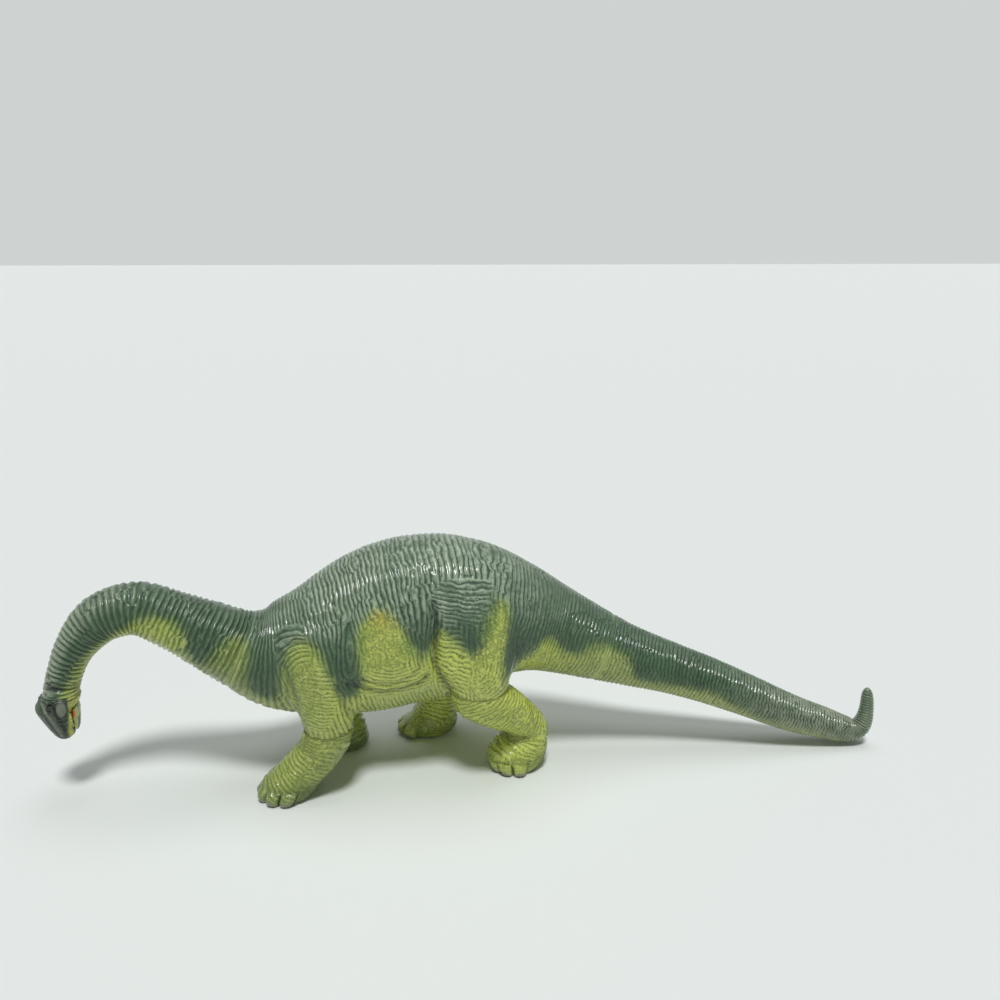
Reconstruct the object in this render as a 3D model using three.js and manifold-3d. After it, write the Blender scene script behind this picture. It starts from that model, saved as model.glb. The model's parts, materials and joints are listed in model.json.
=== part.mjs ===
// Long-necked toy dinosaur: a hollow soft-vinyl figure whose neck, head, tail and legs are round plugs
// pressed into sockets of the next piece. Millimetres, +Z up, head towards -X, left side towards -Y.
import * as THREE from 'three';
import { mergeVertices } from 'three/addons/utils/BufferGeometryUtils.js';
import Module from 'manifold-3d';

const wasm = await Module();
wasm.setup();

// Casting and fit
const wall = 3; // vinyl wall of every cast piece
const fitGap = 0.3; // clearance at every seam and plug
const stuffingGap = 0.5; // stuffing to the inside of the body
const cutOverrun = 4; // how far a cutting solid runs past the face it opens

// Body
const backHeight = 134; // highest point of the back
const torsoLength = 203; // neck seam to tail seam, measured level
const torsoDepth = 96;
const torsoWidth = 75;

// Neck, from the body seam to the head seam
const neckSeamRadius = 21.6;
const neckReach = 93;
const neckRise = 27; // crest of the neck over the body seam, at mid-neck
const neckDepth = 29;
const neckWidth = 28;

// Head, hanging straight down from the neck
const headSeamRadius = 9.2;
const headLength = 26;
const headDepth = 21.4;
const headWidth = 21;
const eyeRadius = 2.3;
const eyeStandOut = 0.2; // how far an eye stands out of the side of the head
const jawThickness = 2.2;
const jawSetBack = 1.5; // jaw in from the throat, at the head seam
const jawRoundness = 0.8; // 1 gives round sections, less gives squarer ones
const mouthDepth = 2.5; // palate to lower jaw
const tongueThickness = 1.3;
const gumThickness = 0.6;
const gumWidth = 0.9;
const toothLength = 0.9;
const toothRadius = 0.5;

// Tail, from the body seam to the tip
const tailSeamRadius = 20.3;
const tailReach = 154;
const tailDrop = 53; // body seam down to the lowest part of the tail
const tailDepth = 38;
const tailHook = 28; // rise of the tip over the lowest part
const tailSweep = 38; // sideways reach of the tip, to the left

// Plugs
const neckPlug = { radius: 11, flange: 14.5, bore: 8 };
const headPlug = { radius: 3.7, flange: 4.7, bore: 2.1 };
const tailPlug = { radius: 10, flange: 13.5, bore: 7 };
const frontPlug = { radius: 6.5, flange: 8.8, bore: 4 };
const hindPlug = { radius: 8.5, flange: 11.5, bore: 5.5 };
const flangeThickness = 2.4;
const flangeTaper = 1.6;

// Legs
const frontSeamOverBelly = 5.6; // leg seam over the underside of the body
const frontSeamRadius = 12.7;
const frontSpread = 56; // between the plugs of the front legs
const frontPlaceShare = 0.2192; // of the body's length, from the neck seam
const shoulderRise = 24; // top of the shoulder over the axis of the body
const shoulderLength = 34;
const shoulderWidth = 27;
const hindSeamUnderBelly = 0.5;
const hindSeamRadius = 15.5;
const hindSpread = 56;
const hindPlaceShare = 0.6207;
const hipRise = 28.8;
const thighLength = 40;
const thighWidth = 33;
const legWellDepth = 9; // how far down the body is kept clear round each leg
const legWellClearance = 2.8; // how far out from the seam it is kept clear
const footLength = 30;
const footWidth = 26;
const toeRadius = 3.1;
const toeCount = 5;
const toeFanAngle = THREE.MathUtils.degToRad(160); // first toe to last, round the front of the foot

// Where each foot stands, measured from the plug above it: lengthwise and sideways (outwards)
const frontLeftStep = { along: -23.5, outward: -2.5 };
const frontRightStep = { along: 8.5, outward: -7 };
const hindLeftStep = { along: 22.5, outward: -6.5 };
const hindRightStep = { along: -22.5, outward: -0.4 };

// Skin folds round the neck, body and tail, coarser than the wrinkles of the real skin
const foldPitch = 7; // crest to crest
const foldDepth = 0.8; // where the section is as thick as the tail seam or thicker, and less where it is thinner

// How finely the surfaces are divided
const aroundSpine = 32;
const aroundLimb = 16;
const aroundPlug = 16;
const hollowRingsPerStation = 1.5;
const spineSamples = 600;
const leastRingStep = 0.3; // of the step between two level rings
const searchSteps = 30;
const toeFacets = { around: 7, rings: 4 };
const eyeFacets = { around: 10, rings: 6 };
const toothSides = 4;
const gumSteps = 10; // round each gum, with a tooth at each step between the ends

const up = new THREE.Vector3(0, 0, 1);
const down = new THREE.Vector3(0, 0, -1);
const sideways = new THREE.Vector3(0, 1, 0);
const lengthwise = new THREE.Vector3(1, 0, 0);

// Solids

function signedVolume(geometry) {
  const position = geometry.attributes.position;
  const index = geometry.index.array;
  const a = new THREE.Vector3();
  const b = new THREE.Vector3();
  const c = new THREE.Vector3();
  let sum = 0;
  for (let i = 0; i < index.length; i += 3) {
    a.fromBufferAttribute(position, index[i]);
    b.fromBufferAttribute(position, index[i + 1]);
    c.fromBufferAttribute(position, index[i + 2]);
    sum += a.dot(b.cross(c));
  }
  return sum;
}

function solidOf(source) {
  const bare = source.clone();
  bare.deleteAttribute('normal');
  bare.deleteAttribute('uv');
  const geometry = mergeVertices(bare);
  const index = Uint32Array.from(geometry.index.array);
  if (signedVolume(geometry) < 0) {
    index.reverse();
  }
  const mesh = new wasm.Mesh({
    numProp: 3,
    vertProperties: Float32Array.from(geometry.attributes.position.array),
    triVerts: index,
  });
  return new wasm.Manifold(mesh);
}

function geometryOf(solid) {
  const mesh = solid.getMesh();
  const geometry = new THREE.BufferGeometry();
  geometry.setAttribute('position', new THREE.BufferAttribute(mesh.vertProperties.slice(), 3));
  geometry.setIndex(new THREE.BufferAttribute(mesh.triVerts.slice(), 1));
  geometry.computeVertexNormals();
  return geometry;
}

function joined(solids) {
  return solids.reduce((sum, solid) => sum.add(solid));
}

function cut(solid, cutters) {
  return cutters.reduce((rest, cutter) => rest.subtract(cutter), solid);
}

// A ring is an ellipse in the plane of two unit vectors, with its own reach above and below its centre; a
// roundness under 1 squares its corners.
function ring(centre, across, upward, { side, above, below }, count, roundness = 1) {
  const points = [];
  for (let i = 0; i < count; i += 1) {
    const angle = (2 * Math.PI * i) / count;
    const cosine = Math.sign(Math.cos(angle)) * Math.abs(Math.cos(angle)) ** roundness;
    const sine = Math.sign(Math.sin(angle)) * Math.abs(Math.sin(angle)) ** roundness;
    const point = centre.clone();
    point.addScaledVector(across, side * cosine);
    point.addScaledVector(upward, (sine > 0 ? above : below) * sine);
    points.push(point);
  }
  return points;
}

// Skins a row of rings and closes both ends.
function loft(rings) {
  const count = rings[0].length;
  const positions = [];
  const triangles = [];
  rings.forEach((points) => points.forEach((point) => positions.push(point.x, point.y, point.z)));
  for (let k = 0; k + 1 < rings.length; k += 1) {
    for (let i = 0; i < count; i += 1) {
      const next = (i + 1) % count;
      const a = k * count + i;
      const b = k * count + next;
      triangles.push(a, b, b + count, a, b + count, a + count);
    }
  }
  [0, rings.length - 1].forEach((k) => {
    const middle = new THREE.Vector3();
    rings[k].forEach((point) => middle.add(point));
    middle.divideScalar(count);
    const hub = positions.length / 3;
    positions.push(middle.x, middle.y, middle.z);
    for (let i = 0; i < count; i += 1) {
      const here = k * count + i;
      const next = k * count + ((i + 1) % count);
      triangles.push(...(k === 0 ? [hub, next, here] : [hub, here, next]));
    }
  });
  const geometry = new THREE.BufferGeometry();
  geometry.setAttribute('position', new THREE.Float32BufferAttribute(positions, 3));
  geometry.setIndex(triangles);
  return solidOf(geometry);
}

// A turned solid: profile rows are [radius, distance along the axis], from axis to axis.
function turned(profile, origin, axis, segments = aroundPlug) {
  const points = profile.map(([radius, along]) => new THREE.Vector2(radius, along));
  const geometry = new THREE.LatheGeometry(points, segments);
  geometry.applyQuaternion(new THREE.Quaternion().setFromUnitVectors(sideways, axis));
  geometry.translate(origin.x, origin.y, origin.z);
  return solidOf(geometry);
}

function rod(radius, origin, axis, from, to) {
  return turned([[0, from], [radius, from], [radius, to], [0, to]], origin, axis);
}

// A plug joint: the stem and bore of the moving piece, and the hole and inner room in the piece that holds
// it. The axis points from the moving piece into the piece that holds it. The sides of the hole and the room
// are flats, so they are set out to clear the corners of the turning stem.
function plugJoint(size, origin, axis) {
  const rim = wall + fitGap;
  const stem = turned([
    [0, -wall],
    [size.radius, -wall],
    [size.radius, rim],
    [size.flange, rim],
    [size.flange, rim + flangeThickness],
    [size.radius, rim + flangeThickness + flangeTaper],
    [0, rim + flangeThickness + flangeTaper],
  ], origin, axis);
  const reach = rim + flangeThickness + flangeTaper + cutOverrun;
  const roundStem = (size.radius + fitGap) / Math.cos(Math.PI / aroundPlug);
  const roundFlange = (size.flange + fitGap) / Math.cos(Math.PI / aroundPlug);
  return {
    stem,
    bore: rod(size.bore, origin, axis, -wall - cutOverrun, reach),
    hole: rod(roundStem, origin, axis, -cutOverrun, wall + cutOverrun),
    pocket: rod(roundFlange, origin, axis, 0, reach),
  };
}

// The spine: one curve from the head seam to the tip of the tail, with its half width and the reach above and
// below it along the way.
// Neck rows: share of the reach, share of the rise, share of the depth, share of the width. The first row is
// the round seam of the head.
const neckShares = [
  [1, -0.63],
  [0.968, -0.26, 0.62, 0.64],
  [0.903, 0.24, 0.69, 0.72],
  [0.8, 0.685, 0.85, 0.86],
  [0.694, 0.926, 0.93, 0.95],
  [0.532, 1, 0.99, 1],
  [0.35, 0.7, 1.09, 1.13],
  [0.183, 0.37, 1.26, 1.3],
];
// Torso rows: share of the length, of the back height, of the tail's sweep, of half the depth above and below
// the centre, and of half the width. The first and last rows are the round seams.
const torsoShares = [
  [0, 0.567, 0],
  [0.074, 0.537, 0, 0.56, 0.64, 0.67],
  [0.167, 0.552, 0, 0.667, 0.833, 0.81],
  [0.308, 0.597, 0, 0.896, 0.98, 0.92],
  [0.421, 0.634, 0, 0.98, 1.01, 0.985],
  [0.517, 0.657, 0, 0.96, 1, 1],
  [0.596, 0.66, 0.01, 0.89, 0.72, 0.985],
  [0.658, 0.649, 0.03, 0.795, 0.72, 0.95],
  [0.759, 0.601, 0.05, 0.667, 0.667, 0.84],
  [0.852, 0.545, 0.04, 0.555, 0.54, 0.69],
  [1, 0.456, -0.105],
];
// Tail rows: share of the reach, share of the drop, share of the hook's rise, share of the depth.
const tailShares = [
  [0.097, 0.104, 0, 0.94],
  [0.25, 0.245, 0, 0.8],
  [0.403, 0.402, 0, 0.72],
  [0.555, 0.585, 0, 0.65],
  [0.711, 0.779, 0, 0.58],
  [0.836, 0.896, 0, 0.5],
  [0.909, 0.962, 0, 0.425],
  [0.951, 0.984, 0, 0.37],
  [0.98, 0.984, 0.075, 0.305],
  [0.994, 0.984, 0.26, 0.25],
  [0.998, 0.984, 0.51, 0.215],
  [0.996, 0.984, 0.76, 0.185],
  [0.994, 0.984, 0.89, 0.14],
  [0.993, 0.984, 0.96, 0.07],
];

const hollowTailRows = 6;

const neckSeamHeight = torsoShares[0][1] * backHeight;
const [, tailSeamShare, seamSweepShare] = torsoShares[torsoShares.length - 1];
const tailSeamHeight = tailSeamShare * backHeight;

function spineStations() {
  const neck = neckShares.map(([reach, rise, depth, width]) => ({
    x: -reach * neckReach,
    y: 0,
    z: neckSeamHeight + rise * neckRise,
    above: depth === undefined ? headSeamRadius : (depth * neckDepth) / 2,
    below: depth === undefined ? headSeamRadius : (depth * neckDepth) / 2,
    side: width === undefined ? headSeamRadius : (width * neckWidth) / 2,
  }));
  const torso = torsoShares.map(([along, height, sweep, above, below, width], k) => {
    const seamRadius = k === 0 ? neckSeamRadius : tailSeamRadius;
    return {
      x: along * torsoLength,
      y: sweep * tailSweep,
      z: height * backHeight,
      above: above === undefined ? seamRadius : (above * torsoDepth) / 2,
      below: below === undefined ? seamRadius : (below * torsoDepth) / 2,
      side: width === undefined ? seamRadius : (width * torsoWidth) / 2,
    };
  });
  const tail = tailShares.map(([reach, drop, hook, depth]) => ({
    x: torsoLength + reach * tailReach,
    y: tailSweep * (seamSweepShare - reach * (1 + seamSweepShare)),
    z: tailSeamHeight - drop * tailDrop + hook * tailHook,
    above: (depth * tailDepth) / 2,
    below: (depth * tailDepth) / 2,
    side: (depth * tailDepth) / 2,
  }));
  return [...neck, ...torso, ...tail];
}

const stations = spineStations();
const lastStation = stations.length - 1;
const neckSeam = neckShares.length;
const tailSeam = neckSeam + torsoShares.length - 1;
const spineCurve = new THREE.CatmullRomCurve3(
  stations.map(({ x, y, z }) => new THREE.Vector3(x, y, z)),
  false,
  'catmullrom',
);
spineCurve.arcLengthDivisions = spineSamples;
const girthCurve = new THREE.CatmullRomCurve3(
  stations.map(({ side, above, below }) => new THREE.Vector3(side, above, below)),
  false,
  'catmullrom',
);

// The curve's frame at a station number, which may fall between two stations. The head hangs straight down,
// so the neck ends level there.
function spineFrame(station) {
  const share = station / lastStation;
  const tangent = station === 0 ? up.clone() : spineCurve.getTangent(share).normalize();
  const across = sideways.clone().addScaledVector(tangent, -tangent.y).normalize();
  const upward = new THREE.Vector3().crossVectors(tangent, across);
  const girth = girthCurve.getPoint(share);
  const size = { side: girth.x, above: girth.y, below: girth.z };
  return { centre: spineCurve.getPoint(share), tangent, across, upward, size };
}

function spineRing(station, shrink, shift) {
  const frame = spineFrame(station);
  const centre = frame.centre.addScaledVector(frame.tangent, shift);
  const { side, above, below } = frame.size;
  const size = { side: side - shrink, above: above - shrink, below: below - shrink };
  return ring(centre, frame.across, frame.upward, size, aroundSpine);
}

// Distance along the spine from the head seam to a station, and the station at a distance.
function arcAt(station) {
  const place = (station / lastStation) * spineSamples;
  const before = Math.min(Math.floor(place), spineSamples - 1);
  const lengths = spineCurve.getLengths(spineSamples);
  return lengths[before] + (lengths[before + 1] - lengths[before]) * (place - before);
}

function stationAt(arc) {
  return spineCurve.getUtoTmapping(0, arc) * lastStation;
}

// The crests and creases of the skin folds between two stations, a whole number of folds from seam to seam.
function foldPlaces(first, last) {
  const start = arcAt(first);
  const length = arcAt(last) - start;
  const count = 2 * Math.round(length / foldPitch);
  const places = [];
  for (let k = 1; k < count; k += 1) {
    const station = stationAt(start + (length * k) / count);
    const girth = Math.min(1, spineFrame(station).size.side / tailSeamRadius);
    places.push({ station, dent: k % 2 === 1 ? foldDepth * girth : 0 });
  }
  return places;
}

function evenPlaces(first, last, dent) {
  const count = Math.round((last - first) * hollowRingsPerStation);
  const places = [];
  for (let k = 1; k < count; k += 1) {
    places.push({ station: first + ((last - first) * k) / count, dent });
  }
  return places;
}

// Skins the spine between two stations. Shrink thins it and leaves its folds out, and the end gaps draw its
// ends in along the curve.
function spineLoft(first, last, { shrink = 0, startGap = 0, endGap = 0 }) {
  const places = shrink > 0 ? evenPlaces(first, last, shrink) : foldPlaces(first, last);
  const start = spineFrame(first);
  const end = spineFrame(last);
  const rings = [spineRing(first, shrink, startGap)];
  places.forEach(({ station, dent }) => {
    const { centre } = spineFrame(station);
    const pastStart = centre.clone().sub(start.centre).dot(start.tangent) > startGap + shrink / 2;
    const beforeEnd = end.centre.clone().sub(centre).dot(end.tangent) > endGap + shrink / 2;
    if (pastStart && beforeEnd) {
      rings.push(spineRing(station, dent, 0));
    }
  });
  rings.push(spineRing(last, shrink, -endGap));
  return loft(rings);
}

// Level sections: rows are { x, y, z, halfLength, halfWidth }, from the highest down to the lowest. The loft
// may start and end between rows, at the heights named top and bottom.
function uprightLoft(rows, options = {}) {
  const { shrink = 0, around = aroundLimb, roundness = 1 } = options;
  const { top = rows[0].z, bottom = rows[rows.length - 1].z } = options;
  const centres = rows.map(({ x, y, z }) => new THREE.Vector3(x, y, z));
  const girths = rows.map(({ halfLength, halfWidth }) => new THREE.Vector3(halfLength, halfWidth, 0));
  const centreCurve = new THREE.CatmullRomCurve3(centres, false, 'catmullrom');
  const girthsCurve = new THREE.CatmullRomCurve3(girths, false, 'catmullrom');
  const ringAt = (share) => {
    const girth = girthsCurve.getPoint(share);
    const centre = centreCurve.getPoint(share);
    const size = { side: girth.x - shrink, above: girth.y - shrink, below: girth.y - shrink };
    return ring(centre, lengthwise, sideways, size, around, roundness);
  };
  const steps = rows.length - 1;
  const first = shareAtHeight(centreCurve, top);
  const last = shareAtHeight(centreCurve, bottom);
  const rings = [];
  for (let k = 0; k <= steps; k += 1) {
    const share = k / steps;
    const least = leastRingStep / steps;
    if (share > first + least && share < last - least) {
      rings.push(ringAt(share));
    }
  }
  return loft([ringAt(first), ...rings, ringAt(last)]);
}

function shareAtHeight(curve, height) {
  let above = 0;
  let below = 1;
  for (let k = 0; k < searchSteps; k += 1) {
    const middle = (above + below) / 2;
    if (curve.getPoint(middle).z > height) {
      above = middle;
    } else {
      below = middle;
    }
  }
  return below;
}

// The four plug places and the legs under them

// Rows from the seam up into the body: share of the height over the seam, inwards as a share of half the
// spread, share of the length, share of the width. The first row is the round seam.
const shoulderShares = [
  [0, 0],
  [0.15, 0.03, 0.42, 0.49],
  [0.34, 0.07, 0.47, 0.49],
  [0.59, 0.17, 0.5, 0.5],
  [0.86, 0.28, 0.38, 0.4],
  [1, 0.35, 0.16, 0.16],
];
const thighShares = [
  [0, 0],
  [0.14, 0.02, 0.47, 0.5],
  [0.36, 0.06, 0.5, 0.49],
  [0.64, 0.12, 0.47, 0.46],
  [0.88, 0.3, 0.33, 0.33],
  [1, 0.46, 0.13, 0.13],
];
// Rows from the seam down to the sole: share of the seam height, share of the step, share of the foot's
// length, share of its width. The first row is the round seam.
const frontLeftShares = [
  [1, 0],
  [0.8, 0.085, 0.44, 0.48],
  [0.65, 0.255, 0.477, 0.46],
  [0.44, 0.53, 0.51, 0.46],
  [0.234, 0.85, 0.527, 0.48],
  [0.104, 0.957, 0.487, 0.49],
  [0.03, 1, 0.427, 0.454],
  [0, 1, 0.367, 0.4],
];
const frontRightShares = [
  [1, 0],
  [0.8, 0.15, 0.43, 0.48],
  [0.6, 0.6, 0.405, 0.45],
  [0.4, 0.9, 0.41, 0.44],
  [0.2, 1, 0.44, 0.48],
  [0.08, 1, 0.45, 0.49],
  [0.025, 1, 0.41, 0.45],
  [0, 1, 0.37, 0.4],
];
const hindLeftShares = [
  [1, 0],
  [0.87, 0.2, 0.63, 0.577],
  [0.74, 0.42, 0.677, 0.56],
  [0.64, 0.67, 0.65, 0.52],
  [0.546, 0.955, 0.533, 0.48],
  [0.454, 1.22, 0.417, 0.442],
  [0.38, 1.24, 0.407, 0.435],
  [0.287, 1.11, 0.5, 0.46],
  [0.176, 1.01, 0.55, 0.49],
  [0.074, 1, 0.467, 0.48],
  [0.024, 1, 0.4, 0.44],
  [0, 1, 0.35, 0.385],
];
const hindRightShares = [
  [1, 0],
  [0.87, 0.07, 0.51, 0.55],
  [0.76, 0.26, 0.48, 0.53],
  [0.65, 0.49, 0.423, 0.5],
  [0.52, 0.644, 0.377, 0.46],
  [0.39, 0.71, 0.367, 0.435],
  [0.24, 0.82, 0.443, 0.46],
  [0.12, 0.98, 0.56, 0.5],
  [0.046, 1, 0.533, 0.473],
  [0, 1, 0.467, 0.42],
];

// Where a place along the body has its axis and its underside.
function bodyAt(x) {
  let before = neckSeam;
  let after = tailSeam;
  for (let k = 0; k < searchSteps; k += 1) {
    const station = (before + after) / 2;
    if (spineCurve.getPoint(station / lastStation).x < x) {
      before = station;
    } else {
      after = station;
    }
  }
  const { centre, size } = spineFrame(before);
  return { axisHeight: centre.z, underside: centre.z - size.below };
}

const frontBody = bodyAt(frontPlaceShare * torsoLength);
const hindBody = bodyAt(hindPlaceShare * torsoLength);
const frontPlace = {
  x: frontPlaceShare * torsoLength,
  spread: frontSpread,
  seamHeight: frontBody.underside + frontSeamOverBelly,
  seamRadius: frontSeamRadius,
  topHeight: frontBody.axisHeight + shoulderRise,
  length: shoulderLength,
  width: shoulderWidth,
  rootShares: shoulderShares,
  plug: frontPlug,
};
const hindPlace = {
  x: hindPlaceShare * torsoLength,
  spread: hindSpread,
  seamHeight: hindBody.underside - hindSeamUnderBelly,
  seamRadius: hindSeamRadius,
  topHeight: hindBody.axisHeight + hipRise,
  length: thighLength,
  width: thighWidth,
  rootShares: thighShares,
  plug: hindPlug,
};
const left = -1;
const right = 1;
const legs = [
  { name: 'front_left_leg', side: left, place: frontPlace, step: frontLeftStep, shares: frontLeftShares },
  { name: 'front_right_leg', side: right, place: frontPlace, step: frontRightStep, shares: frontRightShares },
  { name: 'hind_left_leg', side: left, place: hindPlace, step: hindLeftStep, shares: hindLeftShares },
  { name: 'hind_right_leg', side: right, place: hindPlace, step: hindRightStep, shares: hindRightShares },
];

function plugCentre({ side, place }) {
  return new THREE.Vector3(place.x, (side * place.spread) / 2, place.seamHeight);
}

function legPlug(leg) {
  return plugJoint(leg.place.plug, plugCentre(leg), up);
}

// The shoulder or thigh that stands out of the body down to the seam.
function limbRoot({ side, place }, shrink) {
  const rows = place.rootShares.map(([height, inward, length, width]) => ({
    x: place.x,
    y: (side * place.spread * (1 - inward)) / 2,
    z: place.seamHeight + height * (place.topHeight - place.seamHeight),
    halfLength: length === undefined ? place.seamRadius : length * place.length,
    halfWidth: width === undefined ? place.seamRadius : width * place.width,
  }));
  rows.reverse();
  return uprightLoft(rows, { shrink, top: place.topHeight - 2 * shrink, bottom: place.seamHeight + shrink });
}

// The ring of body round a leg that is cut clear, so that the leg can turn.
function legWell({ side, place }) {
  const radius = place.seamRadius + legWellClearance;
  const profile = [
    [0, 0],
    [place.seamRadius, 0],
    [radius, legWellClearance / 2],
    [radius, legWellDepth],
    [0, legWellDepth],
  ];
  return turned(profile, plugCentre({ side, place }), down, aroundLimb);
}

function legRows({ side, place, step, shares }) {
  return shares.map(([height, along, length, width]) => ({
    x: place.x + along * step.along,
    y: side * (place.spread / 2 + along * step.outward),
    z: height * place.seamHeight,
    halfLength: length === undefined ? place.seamRadius : length * footLength,
    halfWidth: width === undefined ? place.seamRadius : width * footWidth,
  }));
}

// Toes stand round the front of the foot's widest row, the third from the sole.
function toes(rows) {
  const foot = rows[rows.length - 3];
  const solids = [];
  for (let k = 0; k < toeCount; k += 1) {
    const angle = toeFanAngle * (k / (toeCount - 1) - 0.5);
    const geometry = new THREE.SphereGeometry(toeRadius, toeFacets.around, toeFacets.rings);
    const x = foot.x - foot.halfLength * Math.cos(angle);
    const y = foot.y + foot.halfWidth * Math.sin(angle);
    geometry.translate(x, y, toeRadius);
    solids.push(solidOf(geometry));
  }
  return solids;
}

function legSolid(leg) {
  const rows = legRows(leg);
  const top = leg.place.seamHeight - fitGap;
  const outer = uprightLoft(rows, { top });
  const hollow = uprightLoft(rows, { shrink: wall, top: top - wall, bottom: wall });
  const plug = legPlug(leg);
  return cut(joined([outer, plug.stem, ...toes(rows)]), [hollow, plug.bore]);
}

// Neck, tail and body

const neckFrame = spineFrame(neckSeam);
const tailFrame = spineFrame(tailSeam);
const headFrame = spineFrame(0);
const neckJoint = plugJoint(neckPlug, neckFrame.centre, neckFrame.tangent);
const tailJoint = plugJoint(tailPlug, tailFrame.centre, tailFrame.tangent.clone().negate());
const headJoint = plugJoint(headPlug, headFrame.centre, headFrame.tangent);

function torsoShell() {
  const outer = cut(spineLoft(neckSeam, tailSeam, {}), legs.map(legWell));
  const hollow = spineLoft(neckSeam, tailSeam, { shrink: wall, startGap: wall, endGap: wall });
  const roots = legs.map((leg) => limbRoot(leg, 0));
  const rootHollows = legs.map((leg) => limbRoot(leg, wall));
  const holes = [neckJoint.hole, tailJoint.hole, ...legs.map((leg) => legPlug(leg).hole)];
  return cut(joined([outer, ...roots]), [hollow, ...rootHollows, ...holes]);
}

function torsoStuffing() {
  const gap = wall + stuffingGap;
  const core = spineLoft(neckSeam, tailSeam, { shrink: gap, startGap: gap, endGap: gap });
  return cut(core, [neckJoint.pocket, tailJoint.pocket, ...legs.map((leg) => legPlug(leg).pocket)]);
}

function neckSolid() {
  const outer = spineLoft(0, neckSeam, { endGap: fitGap });
  const hollow = spineLoft(0, neckSeam, { shrink: wall, startGap: wall, endGap: wall + fitGap });
  return cut(joined([outer, neckJoint.stem]), [hollow, neckJoint.bore, headJoint.hole]);
}

function tailSolid() {
  const solidEnd = tailSeam + hollowTailRows; // the tail is solid from this station on
  const outer = spineLoft(tailSeam, lastStation, { startGap: fitGap });
  const hollow = spineLoft(tailSeam, solidEnd, { shrink: wall, startGap: wall + fitGap });
  return cut(joined([outer, tailJoint.stem]), [hollow, tailJoint.bore]);
}

// Head. Rows: share of the length below the seam, forwards as a share of the depth, share of the depth, share
// of the width. The first row is the round seam.
const headShares = [
  [0, 0],
  [0.16, 0.08, 0.485, 0.48],
  [0.3, 0.15, 0.455, 0.5],
  [0.495, 0.115, 0.386, 0.457],
  [0.69, 0.07, 0.31, 0.39],
  [0.866, 0.02, 0.236, 0.324],
  [1, -0.01, 0.127, 0.2],
];
// Lower jaw rows: share of the head's length below the seam, share of the head's width.
const jawShares = [
  [0.3, 0.54],
  [0.42, 0.56],
  [0.6, 0.5],
  [0.74, 0.4],
  [0.83, 0.24],
];
const headSeamHeight = headFrame.centre.z;
const headX = headFrame.centre.x;
const jawX = headX + headSeamRadius - jawSetBack - jawThickness; // front face of the lower jaw
const mouthTopShare = 0.36;
const mouthWidth = 0.58 * headWidth; // over the outer edges of the upper gum
const mouthLength = 0.4 * headLength;
const eyeShares = { down: 0.19, forward: 0.15 };
// Tongue rows: share of the head's length below the seam, share of the head's width.
const tongueShares = [
  [0.4, 0.17],
  [0.46, 0.22],
  [0.58, 0.21],
  [0.66, 0.13],
];

function headHeight(share) {
  return headSeamHeight - share * headLength;
}

function headSolid() {
  const rows = headShares.map(([below, forward, depth, width]) => ({
    x: headX - forward * headDepth,
    y: 0,
    z: headHeight(below),
    halfLength: depth === undefined ? headSeamRadius : depth * headDepth,
    halfWidth: width === undefined ? headSeamRadius : width * headWidth,
  }));
  const outer = uprightLoft(rows, { top: headSeamHeight - fitGap, around: aroundSpine });
  const sockets = [left, right].map((side) => eyeBall(side, fitGap));
  return cut(joined([outer, headJoint.stem]), [mouthBox(), jawBody(fitGap), ...sockets]);
}

// The lower jaw, or with some growth the socket in the head that its root sits in.
function jawBody(growth) {
  const rows = jawShares.map(([below, width], k) => ({
    x: jawX + jawThickness / 2,
    y: 0,
    z: headHeight(below) + (k === 0 ? growth : 0),
    halfLength: jawThickness / 2 + growth,
    halfWidth: (width * headWidth) / 2 + growth,
  }));
  return uprightLoft(rows, { roundness: jawRoundness });
}

// The mouth opening runs from the palate out past the lower jaw.
function mouthBox() {
  const depth = mouthDepth + jawThickness + cutOverrun;
  const height = headLength * (1 - mouthTopShare) + cutOverrun;
  const geometry = new THREE.BoxGeometry(depth, 2 * headWidth, height);
  geometry.translate(jawX - mouthDepth + depth / 2, 0, headHeight(mouthTopShare) - height / 2);
  return solidOf(geometry);
}

// A gum along a half ellipse with teeth standing on it, drawn in by the inset from the edge of the mouth.
// Direction 1 points the teeth at the lower jaw, -1 at the palate.
function toothStrip(baseX, direction, inset) {
  const topZ = headHeight(mouthTopShare) - 2 * gumWidth;
  const point = (k, offset) => {
    const angle = (Math.PI * k) / gumSteps - Math.PI / 2;
    const y = (mouthWidth / 2 - inset - offset) * Math.sin(angle);
    const z = topZ - (mouthLength - inset - offset) * Math.cos(angle);
    return new THREE.Vector3(baseX, y, z);
  };
  const rise = new THREE.Vector3(direction * gumThickness, 0, 0);
  const rings = [];
  for (let k = 0; k <= gumSteps; k += 1) {
    const outer = point(k, 0);
    const inner = point(k, gumWidth);
    rings.push([outer, inner, inner.clone().add(rise), outer.clone().add(rise)]);
  }
  const teeth = [];
  for (let k = 1; k < gumSteps; k += 1) {
    const cone = new THREE.ConeGeometry(toothRadius, toothLength, toothSides);
    cone.rotateZ((-direction * Math.PI) / 2);
    const foot = point(k, gumWidth / 2);
    cone.translate(baseX + (direction * (gumThickness + toothLength)) / 2, foot.y, foot.z);
    teeth.push(solidOf(cone));
  }
  return joined([loft(rings), ...teeth]);
}

function tongueSolid() {
  const rows = tongueShares.map(([below, width]) => ({
    x: jawX - fitGap - tongueThickness / 2,
    y: 0,
    z: headHeight(below),
    halfLength: tongueThickness / 2,
    halfWidth: (width * headWidth) / 2,
  }));
  return uprightLoft(rows, { around: aroundPlug });
}

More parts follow.
